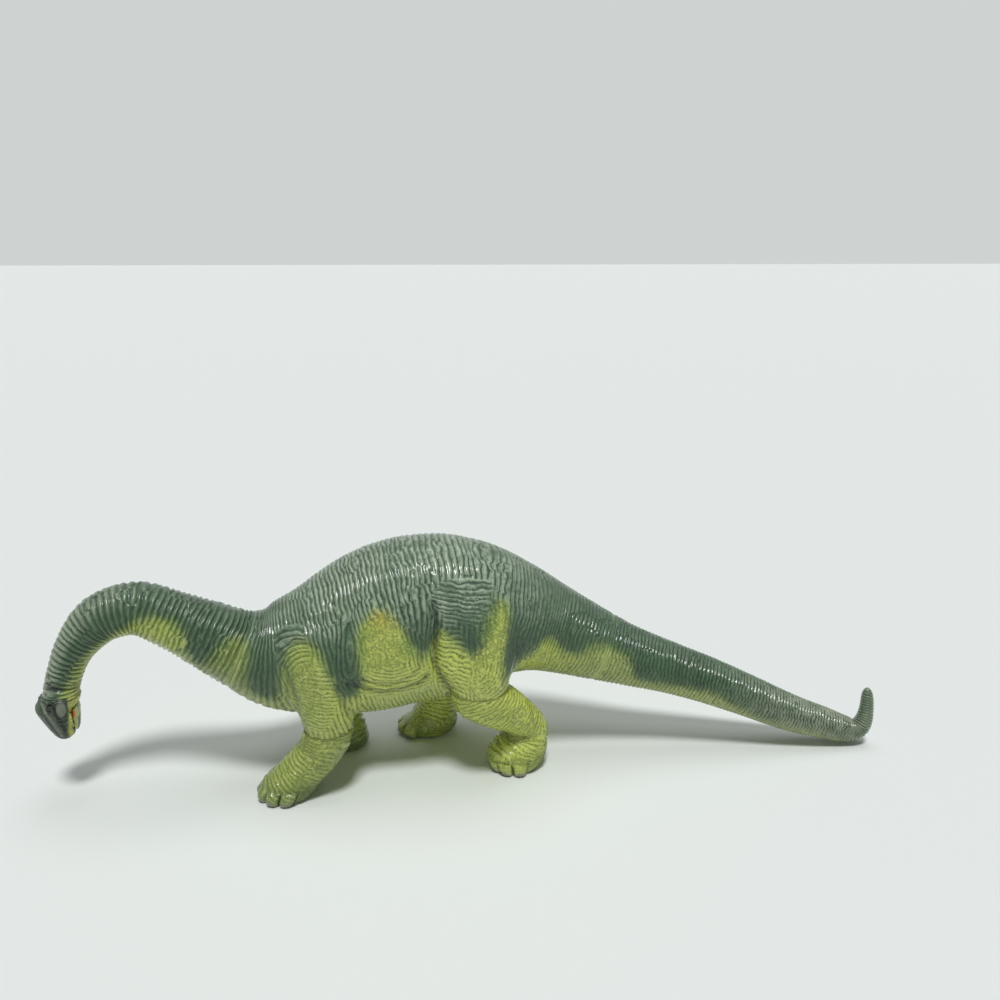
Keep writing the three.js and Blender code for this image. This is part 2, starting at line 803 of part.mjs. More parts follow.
// An eye, or with some growth its socket in the head.
function eyeBall(side, growth) {
  const geometry = new THREE.SphereGeometry(eyeRadius + growth, eyeFacets.around, eyeFacets.rings);
  const y = side * (headWidth / 2 - eyeRadius + eyeStandOut);
  geometry.translate(headX - eyeShares.forward * headDepth, y, headHeight(eyeShares.down));
  return solidOf(geometry);
}

// Vinyl colours and the small fittings

function vinyl(color) {
  return new THREE.MeshStandardMaterial({ color, roughness: 0.45, metalness: 0 });
}

const darkSkin = vinyl(0x3b4f41);
const lightSkin = vinyl(0x8f9c3e);
const headSkin = vinyl(0x55604a);
const mouthRed = vinyl(0xb4492f);
const toothIvory = vinyl(0xd9d3a4);
const eyeBlack = new THREE.MeshStandardMaterial({ color: 0x14120f, roughness: 0.15, metalness: 0 });
const fibreWhite = new THREE.MeshStandardMaterial({ color: 0xe8e6df, roughness: 1, metalness: 0 });

const figure = new THREE.Group();

function addPiece(name, solid, material) {
  const mesh = new THREE.Mesh(geometryOf(solid), material);
  mesh.name = name;
  figure.add(mesh);
}

addPiece('torso_shell', torsoShell(), darkSkin);
addPiece('torso_stuffing', torsoStuffing(), fibreWhite);
addPiece('neck', neckSolid(), darkSkin);
addPiece('tail', tailSolid(), darkSkin);
legs.forEach((leg) => addPiece(leg.name, legSolid(leg), lightSkin));
addPiece('head_shell', headSolid(), headSkin);
addPiece('lower_jaw', jawBody(0), headSkin);
addPiece('tongue', tongueSolid(), mouthRed);
addPiece('upper_teeth', toothStrip(jawX - mouthDepth + fitGap, 1, 0), toothIvory);
addPiece('lower_teeth', toothStrip(jawX - fitGap, -1, 2 * gumWidth), toothIvory);
addPiece('left_eye', eyeBall(left, 0), eyeBlack);
addPiece('right_eye', eyeBall(right, 0), eyeBlack);

// The origin is the middle of the underside of the whole figure.
const bounds = new THREE.Box3().setFromObject(figure);
const middle = bounds.getCenter(new THREE.Vector3());
figure.position.set(-middle.x, -middle.y, -bounds.min.z);

export default figure;
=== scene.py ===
import json
import math

import bpy
import numpy as np
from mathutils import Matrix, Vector


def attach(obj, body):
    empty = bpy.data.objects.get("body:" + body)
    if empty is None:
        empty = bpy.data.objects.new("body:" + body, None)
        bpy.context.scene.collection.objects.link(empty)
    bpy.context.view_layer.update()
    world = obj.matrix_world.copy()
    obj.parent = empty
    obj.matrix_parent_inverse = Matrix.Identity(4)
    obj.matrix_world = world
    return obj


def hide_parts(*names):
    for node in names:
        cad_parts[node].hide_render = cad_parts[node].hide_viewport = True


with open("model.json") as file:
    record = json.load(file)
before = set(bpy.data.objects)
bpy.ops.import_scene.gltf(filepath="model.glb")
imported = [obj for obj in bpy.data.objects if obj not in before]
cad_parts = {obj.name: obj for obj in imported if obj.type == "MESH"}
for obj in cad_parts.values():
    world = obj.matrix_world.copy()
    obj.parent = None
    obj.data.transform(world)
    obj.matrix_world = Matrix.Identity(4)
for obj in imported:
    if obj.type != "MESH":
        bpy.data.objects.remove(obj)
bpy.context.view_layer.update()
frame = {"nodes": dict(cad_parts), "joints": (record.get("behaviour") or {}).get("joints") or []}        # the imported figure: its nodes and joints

jointPlaces = {joint["name"]: np.array(joint["pos_m"]) * 1000 for joint in frame["joints"]}
print("frame loaded:", len(frame["nodes"]), "nodes")

# Lengths here are in millimetres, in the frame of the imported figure: head to -X, left side to -Y, +Z up.
# A mesh is turned into metres when it is made.


def placed(name, data):
    thing = bpy.data.objects.new(name, data)
    bpy.context.collection.objects.link(thing)
    return thing


def facing(direction):
    return direction.to_track_quat("-Z", "Y").to_euler()


# Camera

view = {
    "place": (-73.8, -460.65, 281),   # the lens, over the floor and to the left of the figure
    "turn": 11,                        # degrees towards the tail
    "tilt": 15.4,                      # degrees down
    "focalShare": 0.886,               # focal length as a share of the picture's width
    "sensor": 36, "nearest": 0.01,
}


def setCamera():
    data = bpy.data.cameras.new("camera")
    data.sensor_width = view["sensor"]
    data.lens = view["focalShare"] * view["sensor"]
    data.clip_start = view["nearest"]
    camera = placed("camera", data)
    turn, tilt = math.radians(view["turn"]), math.radians(view["tilt"])
    ahead = Vector((math.sin(turn) * math.cos(tilt), math.cos(turn) * math.cos(tilt), -math.sin(tilt)))
    camera.location = Vector(view["place"]) / 1000
    camera.rotation_euler = facing(ahead)
    bpy.context.scene.camera = camera


setCamera()
print("camera set")


# Noise, curves and grids

def cellValue(ix, iy, iz, seed):     # a repeatable number from 0 to 1 for each cell of a lattice
    mixed = (ix * 374761393 + iy * 668265263 + iz * 1440662683 + seed * 1274126177) & 0xFFFFFFFF
    mixed = ((mixed ^ (mixed >> 13)) * 1103515245) & 0xFFFFFFFF
    mixed = ((mixed ^ (mixed >> 15)) * 1274126177) & 0xFFFFFFFF
    return ((mixed ^ (mixed >> 16)) & 0xFFFF) / 65535


def noise(points, size, seed=0):      # smooth noise from about -1 to 1, with lumps of that size
    scaled = points / size
    cell = np.floor(scaled).astype(np.int64)
    part = scaled - cell
    fade = part ** 3 * (part * (part * 6 - 15) + 10)
    total = 0
    for dx in (0, 1):
        for dy in (0, 1):
            for dz in (0, 1):
                corner = (cell[..., 0] + dx, cell[..., 1] + dy, cell[..., 2] + dz)
                away = part - np.array([dx, dy, dz])
                slopes = [cellValue(*corner, seed * 3 + axis) * 2 - 1 for axis in range(3)]
                share = 1
                for axis, step in enumerate((dx, dy, dz)):
                    share = share * (fade[..., axis] if step else 1 - fade[..., axis])
                total = total + share * sum(slope * away[..., axis] for axis, slope in enumerate(slopes))
    return total * 1.6


def smoothStep(low, high, value):
    part = np.clip((value - low) / (high - low), 0, 1)
    return part * part * (3 - 2 * part)


def bell(value, width):               # 1 at zero, falling off both ways
    return np.exp(-(value / width) ** 2)


def quarterRound(part):               # rises from 0 to 1 as a quarter of a circle
    return np.sqrt(1 - (1 - part) ** 2)


def ringAngles(places):
    return np.arange(places) * 2 * math.pi / places


def alongCurve(rows, station):        # a smooth curve through rows of numbers, read at station 0, 1, 2 ...
    last = len(rows) - 1
    start = np.clip(np.floor(station).astype(int), 0, last - 1)
    part = (station - start)[..., None]
    padded = np.vstack([2 * rows[0] - rows[1], rows, 2 * rows[-1] - rows[-2]])
    before, here, after, beyond = (padded[start + k] for k in range(4))
    slopeHere, slopeAfter = (after - before) / 2, (beyond - here) / 2
    return (here + slopeHere * part + (3 * (after - here) - 2 * slopeHere - slopeAfter) * part ** 2
            + (2 * (here - after) + slopeHere + slopeAfter) * part ** 3)


def curveTable(rows, steps):          # the rows as one smooth curve with that many steps
    return alongCurve(np.array(rows, float), np.linspace(0, len(rows) - 1, steps))


def girthOf(shares, sizes, radius):   # shares of the sizes, or the round seam where a row gives none
    return [share * size for share, size in zip(shares, sizes)] or [radius] * len(sizes)


def readOff(table, levels, level, columns):              # columns of a table, read where one column has those levels
    return [np.interp(levels, table[:, level], table[:, k]) for k in columns]


def uneven(points, even, share, size, seed):             # a number that varies from place to place
    return even + share * noise(points, size, seed)


def lengths(vectors):
    return np.linalg.norm(vectors, axis=-1)


def unit(vectors):
    return vectors / lengths(vectors)[..., None]


def gridNormals(points):              # points[ring, place]; the places close on themselves
    around = np.roll(points, -1, axis=1) - np.roll(points, 1, axis=1)
    along = np.gradient(points, axis=0)
    return unit(np.cross(around, along))


def raised(points, amount):           # each point goes outwards by its amount
    return points + gridNormals(points) * amount[..., None]


# Level rings: oval spokes round each centre, squarer where the power is under 1
def levelRings(x, y, z, halfLength, halfWidth, places, power=1.0):
    angle = ringAngles(places)
    cosine, sine = (np.sign(part) * np.abs(part) ** power for part in (np.cos(angle), np.sin(angle)))
    spokes = np.stack([halfLength[:, None] * cosine, halfWidth[:, None] * sine, np.zeros((len(z), places))], axis=-1)
    return np.stack([x, y, z], axis=-1)[:, None], spokes


def gridMesh(name, points, fields=None):
    rings, places = points.shape[:2]
    hubs = np.array([points[0].mean(0), points[-1].mean(0)])
    corners = np.vstack([points.reshape(-1, 3), hubs]) / 1000
    index = np.arange(rings * places).reshape(rings, places)
    nextOne = np.roll(index, -1, axis=1)
    quads = np.stack([index[:-1], nextOne[:-1], nextOne[1:], index[1:]], axis=-1).reshape(-1, 4)
    firstHub, lastHub = rings * places, rings * places + 1
    faces = [tuple(face) for face in quads.tolist()]
    faces += [(firstHub, b, a) for a, b in zip(index[0].tolist(), nextOne[0].tolist())]
    faces += [(lastHub, a, b) for a, b in zip(index[-1].tolist(), nextOne[-1].tolist())]
    mesh = bpy.data.meshes.new(name)
    mesh.from_pydata(corners.tolist(), [], faces)
    mesh.update()
    for fieldName, values in (fields or {}).items():
        ends = [values[0].mean(), values[-1].mean()]
        layer = mesh.attributes.new(fieldName, "FLOAT", "POINT")
        layer.data.foreach_set("value", np.concatenate([values.ravel(), ends]).astype(np.float32))
    mesh.polygons.foreach_set("use_smooth", [True] * len(mesh.polygons))
    piece = placed(name, mesh)
    if signedVolume(corners, faces) < 0:
        mesh.flip_normals()
    return piece


def strokeShare(points, stroke):      # 1 on a line of the side view, falling off across it
    x, z = points[..., 0], points[..., 2]
    nearest = np.full(x.shape, 1e9)
    for (x0, z0), (x1, z1) in zip(stroke["points"], stroke["points"][1:]):
        long = (x1 - x0) ** 2 + (z1 - z0) ** 2
        part = np.clip(((x - x0) * (x1 - x0) + (z - z0) * (z1 - z0)) / long, 0, 1)
        nearest = np.minimum(nearest, np.hypot(x - x0 - part * (x1 - x0), z - z0 - part * (z1 - z0)))
    return bell(nearest, stroke["half"])


def signedVolume(corners, faces):
    triangles = np.array([(f[0], f[k], f[k + 1]) for f in faces for k in range(1, len(f) - 1)])
    a, b, c = (corners[triangles[:, k]] for k in range(3))
    return np.einsum("ij,ij->i", a, np.cross(b, c)).sum()


# The spine: head seam to neck seam to tail seam to tip of the tail, with the same shares as the solids

spine = {
    "backHeight": 134, "torsoLength": 203, "torsoDepth": 96, "torsoWidth": 75,
    "neckSeamRadius": 21.6, "neckReach": 93, "neckRise": 27, "neckDepth": 29, "neckWidth": 28,
    "headSeamRadius": 9.2, "tailSeamRadius": 20.3,
    "tailReach": 154, "tailDrop": 53, "tailDepth": 38, "tailHook": 28, "tailSweep": 38,
    "steps": 6000, "nudge": 0.01, "upright": (0.9, 0),   # the head hangs straight down from the first station
    # share of the reach, of the rise, of the depth, of the width
    "neckShares": [
        (1, -0.63), (0.968, -0.26, 0.62, 0.64), (0.903, 0.24, 0.69, 0.72), (0.8, 0.685, 0.85, 0.86),
        (0.694, 0.926, 0.93, 0.95), (0.532, 1, 0.99, 1), (0.35, 0.7, 1.09, 1.13), (0.183, 0.37, 1.26, 1.3),
    ],
    # share of the length, of the back height, of the tail's sweep, of half the depth above and below, of half
    # the width
    "torsoShares": [
        (0, 0.567, 0), (0.074, 0.537, 0, 0.56, 0.64, 0.67), (0.167, 0.552, 0, 0.667, 0.833, 0.81),
        (0.308, 0.597, 0, 0.896, 0.98, 0.92), (0.421, 0.634, 0, 0.98, 1.01, 0.985),
        (0.517, 0.657, 0, 0.96, 1, 1), (0.596, 0.66, 0.01, 0.89, 0.72, 0.985),
        (0.658, 0.649, 0.03, 0.795, 0.72, 0.95), (0.759, 0.601, 0.05, 0.667, 0.667, 0.84),
        (0.852, 0.545, 0.04, 0.555, 0.54, 0.69), (1, 0.456, -0.105),
    ],
    # share of the reach, of the drop, of the hook's rise, of the depth
    "tailShares": [
        (0.097, 0.104, 0, 0.94), (0.25, 0.245, 0, 0.8), (0.403, 0.402, 0, 0.72), (0.555, 0.585, 0, 0.65),
        (0.711, 0.779, 0, 0.58), (0.836, 0.896, 0, 0.5), (0.909, 0.962, 0, 0.425), (0.951, 0.984, 0, 0.37),
        (0.98, 0.984, 0.075, 0.305), (0.994, 0.984, 0.26, 0.25), (0.998, 0.984, 0.51, 0.215),
        (0.996, 0.984, 0.76, 0.185), (0.994, 0.984, 0.89, 0.14), (0.993, 0.984, 0.96, 0.07),
    ],
}


def spineRows():                      # rows of x, y, z, half width, reach above and reach below
    size = spine
    neckSeamX = jointPlaces["neck_swivel"][0]
    neckHeight = size["torsoShares"][0][1] * size["backHeight"]
    tailShare, seamSweep = size["torsoShares"][-1][1:3]
    tailHeight = tailShare * size["backHeight"]
    neckHalves = (size["neckDepth"] / 2, size["neckWidth"] / 2)
    torsoHalves = (size["torsoDepth"] / 2, size["torsoDepth"] / 2, size["torsoWidth"] / 2)
    rows = []
    for reach, rise, *girth in size["neckShares"]:
        half, side = girthOf(girth, neckHalves, size["headSeamRadius"])
        rows.append((neckSeamX - reach * size["neckReach"], 0, neckHeight + rise * size["neckRise"],
                     side, half, half))
    for along, height, sweep, *girth in size["torsoShares"]:
        seamRadius = size["tailSeamRadius" if along else "neckSeamRadius"]
        above, below, side = girthOf(girth, torsoHalves, seamRadius)
        rows.append((neckSeamX + along * size["torsoLength"], sweep * size["tailSweep"],
                     height * size["backHeight"], side, above, below))
    for reach, drop, hook, depth in size["tailShares"]:
        half = depth * size["tailDepth"] / 2
        rows.append((neckSeamX + size["torsoLength"] + reach * size["tailReach"],
                     size["tailSweep"] * (seamSweep - reach * (1 + seamSweep)),
                     tailHeight - drop * size["tailDrop"] + hook * size["tailHook"], half, half, half))
    return np.array(rows, float)


rowsOfSpine = spineRows()
neckSeam = len(spine["neckShares"])
tailSeam = neckSeam + len(spine["torsoShares"]) - 1
spineEnd = len(rowsOfSpine) - 1


def spineFrames(stations):
    rows, nudge = alongCurve(rowsOfSpine, stations), spine["nudge"]
    ahead = alongCurve(rowsOfSpine[:, :3], np.minimum(stations + nudge, spineEnd))
    behind = alongCurve(rowsOfSpine[:, :3], np.maximum(stations - nudge, 0))
    tangent = unit(ahead - behind)
    level = smoothStep(*spine["upright"], stations)[:, None]
    tangent = unit(tangent * (1 - level) + np.array([0, 0, 1]) * level)
    across = unit(np.array([0, 1, 0]) - tangent * tangent[:, 1:2])
    upward = np.cross(tangent, across)
    return rows, across, upward


fineStations = np.linspace(0, spineEnd, spine["steps"])
finePlaces = alongCurve(rowsOfSpine[:, :3], fineStations)
fineArc = np.concatenate([[0], np.cumsum(lengths(np.diff(finePlaces, axis=0)))])


def arcAt(station):
    return np.interp(station, fineStations, fineArc)


# A swept grid between two stations: its rings lie every so many millimetres along the spine
def sweptGrid(first, last, spacing, places, startGap=0.0, endGap=0.0):
    start, end = arcAt(first) + startGap, arcAt(last) - endGap
    count = int(round((end - start) / spacing)) + 1
    arc = np.linspace(start, end, count)
    rows, across, upward = spineFrames(np.interp(arc, fineArc, fineStations))
    cosine, sine = np.cos(ringAngles(places)), np.sin(ringAngles(places))
    reach = np.where(sine[None, :] > 0, rows[:, 4:5], rows[:, 5:6])
    rays = (across[:, None] * (rows[:, 3:4] * cosine)[..., None] + upward[:, None] * (reach * sine)[..., None])
    return {
        "centre": rows[:, None, :3], "rays": rays, "points": rows[:, None, :3] + rays,
        "arc": np.repeat(arc[:, None], places, axis=1), "lift": np.repeat(sine[None, :], count, axis=0),
    }


# Skin relief: fine ridges that run round the body, with forks, and patches where they run another way. Each
# ridge is one step of a phase, which the mesh and the material both read, so that they agree.

ridges = {
    # distance along the spine and the spacing of the ridges there
    "pitches": [(0, 2.9), (115, 2.9), (150, 2.5), (300, 2.425), (420, 2.162), (525, 1.5)],
    "length": 540, "steps": 2000,
    "depth": 0.85, "crest": 0.75,                        # a lower crest number makes broader crests
    "uneven": (0.85, 0.35, 4.5, 6),                      # depth, how much it varies, over what size, seed
    "wander": 1.2, "wanderSize": 18, "waver": 0.55, "waverSize": 5,
    "forkSize": 12, "forkLevel": 0.3, "forkEdge": 0.04,
}


def ridgeWave(phase):                 # creases at whole numbers and crests between them
    return (0.5 - 0.5 * np.cos(2 * np.pi * phase)) ** ridges["crest"]


def wander(points, seed):
    return (ridges["wander"] * noise(points, ridges["wanderSize"], seed)
            + ridges["waver"] * noise(points, ridges["waverSize"], seed + 7))


def forkShare(points, seed):          # where ridges end and their neighbours close up
    edge = ridges["forkEdge"]
    return smoothStep(-edge, edge, noise(points, ridges["forkSize"], seed) - ridges["forkLevel"])


def ringPhase(arc):                   # how many ridges lie between the head seam and a place on the spine
    fine = np.linspace(0, ridges["length"], ridges["steps"])
    count = np.cumsum(1 / np.interp(fine, *zip(*ridges["pitches"]))) * (fine[1] - fine[0])
    return np.interp(arc, fine, count)


def plainRelief(ring, fork, pebble):  # rings only, without patches
    none = np.zeros(ring.shape)
    return {"ring": ring, "fold": none, "foldShare": none, "fork": fork, "pebble": none + pebble}


def reliefHeight(fields):             # from 0 in the creases to 1 on the crests
    rings = ridgeWave(fields["ring"]) * (1 - fields["fork"]) + ridgeWave(fields["ring"] + 0.5) * fields["fork"]
    folds = ridgeWave(fields["fold"]) * (1 - fields["fork"]) + ridgeWave(fields["fold"] + 0.5) * fields["fork"]
    return rings * (1 - fields["foldShare"]) + folds * fields["foldShare"]


# Patches of other relief on the torso. Their places are in the side view, lengthwise and up.
patchShapes = {
    "drift": {"level": 1.4, "oval": 0.8, "arcs": 1.3, "fan": 0.7},      # how far the ridges of a kind wander
    "levelTilt": 0.15, "ovalAside": 1.2, "arcsRise": 1.15,
    "edge": (1.12, 0.78), "ragged": (0, 0.22, 9), "sides": (0.93, 0.8),  # where a patch and the side view end
    "pebbleInPatch": 0.45, "pebbleDepth": 0.75,          # how much less pebbly in a patch, and shallower
}
patches = [
    {"kind": "oval", "at": (-71, 84), "half": (7, 19), "pitch": 2.3, "stretch": 5, "depth": 1.1},
    {"kind": "fan", "at": (-34, 97), "half": (12.5, 17), "from": (-33, 58), "pitch": 2.5, "depth": 1.1},
    {"kind": "level", "at": (-11, 107), "half": (19, 12), "pitch": 2.4, "depth": 0.6},
    {"kind": "level", "at": (-17.5, 74), "half": (9, 22), "pitch": 2.8, "depth": 1.15},
    {"kind": "arcs", "at": (-47, 64), "half": (22, 11), "from": (-48, 88), "pitch": 2.6, "depth": 0.7},
    {"kind": "arcs", "at": (-99, 84), "half": (10, 14), "from": (-90, 72), "pitch": 2.5, "depth": 0.95},
    {"kind": "level", "at": (-88, 60), "half": (13, 20), "pitch": 2.0, "depth": 0.7},
    {"kind": "arcs", "at": (8, 66), "half": (13, 14), "from": (-9, 74), "pitch": 2.3, "depth": 0.7},
]
pebbleZones = [
    {"at": (-51, 87), "half": (14, 18)}, {"at": (6, 82), "half": (16, 21)}, {"at": (-1, 62), "half": (12, 9)},
    {"at": (-4, 104), "half": (15, 9)}, {"at": (-92, 66), "half": (9, 14)},
]


def zoneShare(zone, points, seed):
    offset = np.stack([(points[..., 0] - zone["at"][0]) / zone["half"][0],
                       (points[..., 2] - zone["at"][1]) / zone["half"][1]], axis=-1)
    return smoothStep(*patchShapes["edge"], lengths(offset) + uneven(points, *patchShapes["ragged"], seed))


def patchPhase(patch, points, seed):
    x, z = points[..., 0], points[..., 2]
    kind = patch["kind"]
    if kind == "level":
        distance = z + patchShapes["levelTilt"] * x
    elif kind == "oval":
        distance = np.hypot(x - patch["at"][0] - patchShapes["ovalAside"], (z - patch["at"][1]) / patch["stretch"])
    elif kind == "arcs":
        distance = np.hypot(x - patch["from"][0], (z - patch["from"][1]) * patchShapes["arcsRise"])
    else:
        distance = np.arctan2(x - patch["from"][0], z - patch["from"][1]) * (patch["at"][1] - patch["from"][1])
    return (distance + wander(points, seed) * patchShapes["drift"][kind]) / patch["pitch"]


def torsoRelief(points, arc, lift):
    side = smoothStep(*patchShapes["sides"], np.abs(lift))
    best, second = np.zeros(arc.shape), np.zeros(arc.shape)
    phase, depth = np.zeros(arc.shape), np.full(arc.shape, float(ridges["depth"]))
    for number, patch in enumerate(patches):
        share = zoneShare(patch, points, 40 + number) * side
        wins = share > best
        second = np.where(wins, best, np.maximum(second, share))
        best = np.maximum(best, share)
        phase = np.where(wins, patchPhase(patch, points, 60 + number * 5), phase)
        depth = depth * (1 - share) + patch["depth"] * share
    pebble = np.zeros(arc.shape)
    for number, zone in enumerate(pebbleZones):
        pebble = np.maximum(pebble, zoneShare(zone, points, 90 + number) * side)
    foldShare = np.clip(best - second, 0, 1)
    pebble = pebble * (1 - patchShapes["pebbleInPatch"] * foldShare)
    fields = {
        "ring": ringPhase(arc + wander(points, 1)), "fold": phase, "foldShare": foldShare,
        "fork": forkShare(points, 5), "pebble": pebble,
    }
    return fields, depth * uneven(points, *ridges["uneven"]) * (1 - patchShapes["pebbleDepth"] * pebble)


# Limbs: the shoulders and thighs that stand out of the body, and the legs under their seams

limbs = {
    "front": {
        "joint": "front_left_leg_swivel", "seamRadius": 12.7, "top": 100, "length": 34, "width": 27,
        # share of the height over the seam, inwards, of the length, of the width
        "rootShares": [(0, 0), (0.15, 0.03, 0.42, 0.49), (0.34, 0.07, 0.47, 0.49), (0.59, 0.17, 0.5, 0.5),
                       (0.86, 0.28, 0.38, 0.4), (1, 0.35, 0.16, 0.16)],
    },
    "hind": {
        "joint": "hind_left_leg_swivel", "seamRadius": 15.5, "top": 117, "length": 40, "width": 33,
        "rootShares": [(0, 0), (0.14, 0.02, 0.47, 0.5), (0.36, 0.06, 0.5, 0.49), (0.64, 0.12, 0.47, 0.46),
                       (0.88, 0.3, 0.33, 0.33), (1, 0.46, 0.13, 0.13)],
    },
}


def rootTable(limb):                  # rows of z, y (as a distance from the middle), half length, half width
    place = jointPlaces[limb["joint"]]
    rows = [(place[2] + height * (limb["top"] - place[2]), abs(place[1]) * (1 - inward),
             *girthOf(girth, (limb["length"], limb["width"]), limb["seamRadius"]))
            for height, inward, *girth in limb["rootShares"]]
    return curveTable(rows, 200)


def distanceToRoot(points, limb, table, below):
    place = jointPlaces[limb["joint"]]
    z = points[..., 2]
    aside, halfLength, halfWidth = readOff(table, z, 0, (1, 2, 3))
    ratio = np.hypot((points[..., 0] - place[0]) / halfLength, (np.abs(points[..., 1]) - aside) / halfWidth)
    distance = (ratio - 1) * np.sqrt(halfLength * halfWidth)
    distance = np.maximum(distance, z - limb["top"])
    return np.maximum(distance, place[2] - below - z)


def smoothLeast(a, b, blend):
    overlap = np.maximum(blend - np.abs(a - b), 0) / blend
    return np.minimum(a, b) - overlap ** 2 * blend / 4


torso = {
    "spacing": 0.58, "places": 256,
    "limbBlend": 9,          # how far the limbs and the body run into each other
    "reach": 46,             # furthest that a limb stands out of the body
    "rootBelow": 4,          # the roots run on this far below the seams, and are then cut level
    "lip": 0.5, "fade": 2.2, # rounding of the edges at the seams, and how far in the ridges start
    "wellDepth": 9,          # the body is cut clear of each leg this far down
    "wellClearance": 2.8,    # and this far out from the seam
    "softening": 6, "softEdge": 6, "halvings": 14, "strokeSides": (0.97, 0.85), "inkWidth": 0.6,
}


def torsoSurface(grid):               # pushes the swept grid out along its rays over the limbs
    direction = unit(grid["rays"])
    own = lengths(grid["rays"])
    tables = {name: rootTable(limb) for name, limb in limbs.items()}

    def outside(extra):
        points = grid["centre"] + direction * (own + extra)[..., None]
        distance = extra * 1.0
        for name, limb in limbs.items():
            root = distanceToRoot(points, limb, tables[name], torso["rootBelow"])
            distance = smoothLeast(distance, root, torso["limbBlend"])
        return distance

    inner = np.zeros(own.shape)
    for extra in range(torso["reach"] + 1):              # first to the millimetre, then by halving it
        inner = np.where(outside(np.full(own.shape, extra)) < 0, extra, inner)
    outer = inner + 1.0
    for _ in range(torso["halvings"]):
        middle = (inner + outer) / 2
        within = outside(middle) < 0
        inner, outer = np.where(within, middle, inner), np.where(within, outer, middle)
    return grid["centre"] + direction * (own + inner)[..., None]


def softened(points, rounds):         # evens out a grid without drawing its ends in
    for _ in range(rounds):
        near = (np.roll(points, 1, 1) + np.roll(points, -1, 1)) / 4
        near[1:-1] += (points[2:] + points[:-2]) / 4
        near[0] += points[0] / 2
        near[-1] += points[-1] / 2
        points = points * 0.4 + near * 0.6
    return points


def lipped(points, centres, startLip, endLip, rings=4):   # rounds the edge of the rings at the seams
    for ends, lip in ((range(rings), startLip), (range(-1, -1 - rings, -1), endLip)):
        for step, ring in enumerate(ends if lip else ()):
            inset = lip * (1 - math.sin(math.pi / 2 * step / rings))
            spoke = points[ring] - centres[ring]
            points[ring] = centres[ring] + spoke * (1 - inset / lengths(spoke)[..., None])
    return points


def seamFade(arc, first, last, width):                    # 0 at the seams and 1 away from them
    return smoothStep(0, width, arc - arcAt(first)) * smoothStep(0, width, arcAt(last) - arc)


# Paint: dark above and light below. Along the spine, the places where the one gives way to the other.

paintEdge = {
    # distance along the spine, height on the ring from -1 to 1
    "points": [
        (0, -0.35), (12, -0.5), (28, -0.66), (46, -0.8), (62, -0.5), (71, -0.06), (77, 0.2), (84.5, 0.3),
        (91, 0.16), (94.5, -0.08), (99, -0.45), (105, -0.6), (110, -0.5), (112, 0.1), (114.5, 0.5), (119, 0.62),
        (125, 0.5), (129, 0.2), (131, -0.3), (134, -0.55), (142, -0.62), (145.5, -0.36), (147.5, -0.08),
        (150, 0.15), (154, 0.39), (158.7, 0.47), (163.4, 0.46), (167.5, 0.34), (169.8, 0.13), (171, -0.05),
        (173, -0.24), (177, -0.38), (182, -0.42), (186, -0.34), (188.2, -0.02), (190, 0.2), (194, 0.36),
        (198, 0.44), (203, 0.5), (207.5, 0.47), (211, 0.36), (213.5, 0.2), (215.5, 0), (219, -0.13),
        (224.5, -0.12), (228.5, 0), (231.5, 0.11), (235.5, 0.03), (241, -0.13), (246, -0.21), (250, -0.12),
        (252.5, 0.1), (255, 0.3), (258, 0.46), (261, 0.45), (263.4, 0.3), (264.5, -0.05), (266, -0.3),
        (270, -0.45), (279, -0.5), (285, -0.32), (290, 0), (296, 0.08), (303, -0.02), (311, -0.14),
        (319, -0.12), (323.5, 0.12), (330, 0.28), (341, 0.3), (347.5, 0.2), (350.5, -0.05), (355, -0.36),
        (364, -0.48), (375, -0.44), (388, -0.27), (404, -0.2), (420, -0.42), (440, -0.6), (458, -0.4),
        (472, -0.34), (486, -0.6), (498, -1.1), (530, -1.3),
    ],
    "reach": 8, "steps": 1600,                           # beyond the reach from the edge the paint is even
}


def paintDistance(arc, lift, girth):  # millimetres into the light paint, or below zero into the dark
    table = np.array(paintEdge["points"], float)
    fine = np.linspace(table[0, 0], table[-1, 0], paintEdge["steps"])
    edge = np.interp(fine, table[:, 0], table[:, 1])
    height = np.arcsin(np.clip(edge, -1, 1))
    inside = np.where(np.interp(arc, fine, edge) > lift, 1, -1)
    around = np.arcsin(np.clip(lift, -1, 1))
    distance = np.empty(arc.shape)
    for ring in range(arc.shape[0]):
        here = np.abs(fine - arc[ring, 0]) < paintEdge["reach"] + 2
        sideways = girth[ring].mean() * (around[ring][:, None] - height[here][None])
        distance[ring] = np.hypot(sideways, (arc[ring, 0] - fine[here])[None]).min(1)
    return np.clip(distance, 0, paintEdge["reach"]) * inside


# Shares along the spine, as a distance along it and a share
alongSpine = {
    "muted": [(0, 0.1), (60, 0.15), (72, 0.3), (96, 0.3), (100, 0.4), (107, 0.85), (130, 0.85), (140, 0.3),
              (150, 0.45), (166, 0.45), (178, 0.08), (300, 0.05), (330, 0.6), (380, 0.4), (450, 0.4), (530, 0.5)],
    "paleBelow": [(0, 0.9), (90, 0.9), (120, 0.45), (150, 0.7), (300, 0.7), (340, 1), (530, 1)],
    "paleAround": [(300, 0), (345, 0.45), (420, 0.8), (530, 1)],
    # bloom: how strong the painted highlight on the crests is along the spine
    "bloom": [(0, 0.3), (12, 0.55), (30, 0.6), (70, 0.3), (100, 0.08), (120, 0.15), (150, 0.6), (175, 1.25),
              (250, 1.2), (285, 0.35), (320, 0.03), (400, 0.03), (470, 0.2), (530, 0.3)],
}
bleach = {"lift": (-0.35, -0.85), "ragged": (0, 0.1, 6, 24)}
wear = {"front": (72, 24), "least": 0.1, "lift": (0.1, 0.8), "end": (390, 470), "endShare": 1.1,
        "hook": (495, 520), "hookShare": 0.5, "uneven": (0.75, 0.5, 6, 31)}
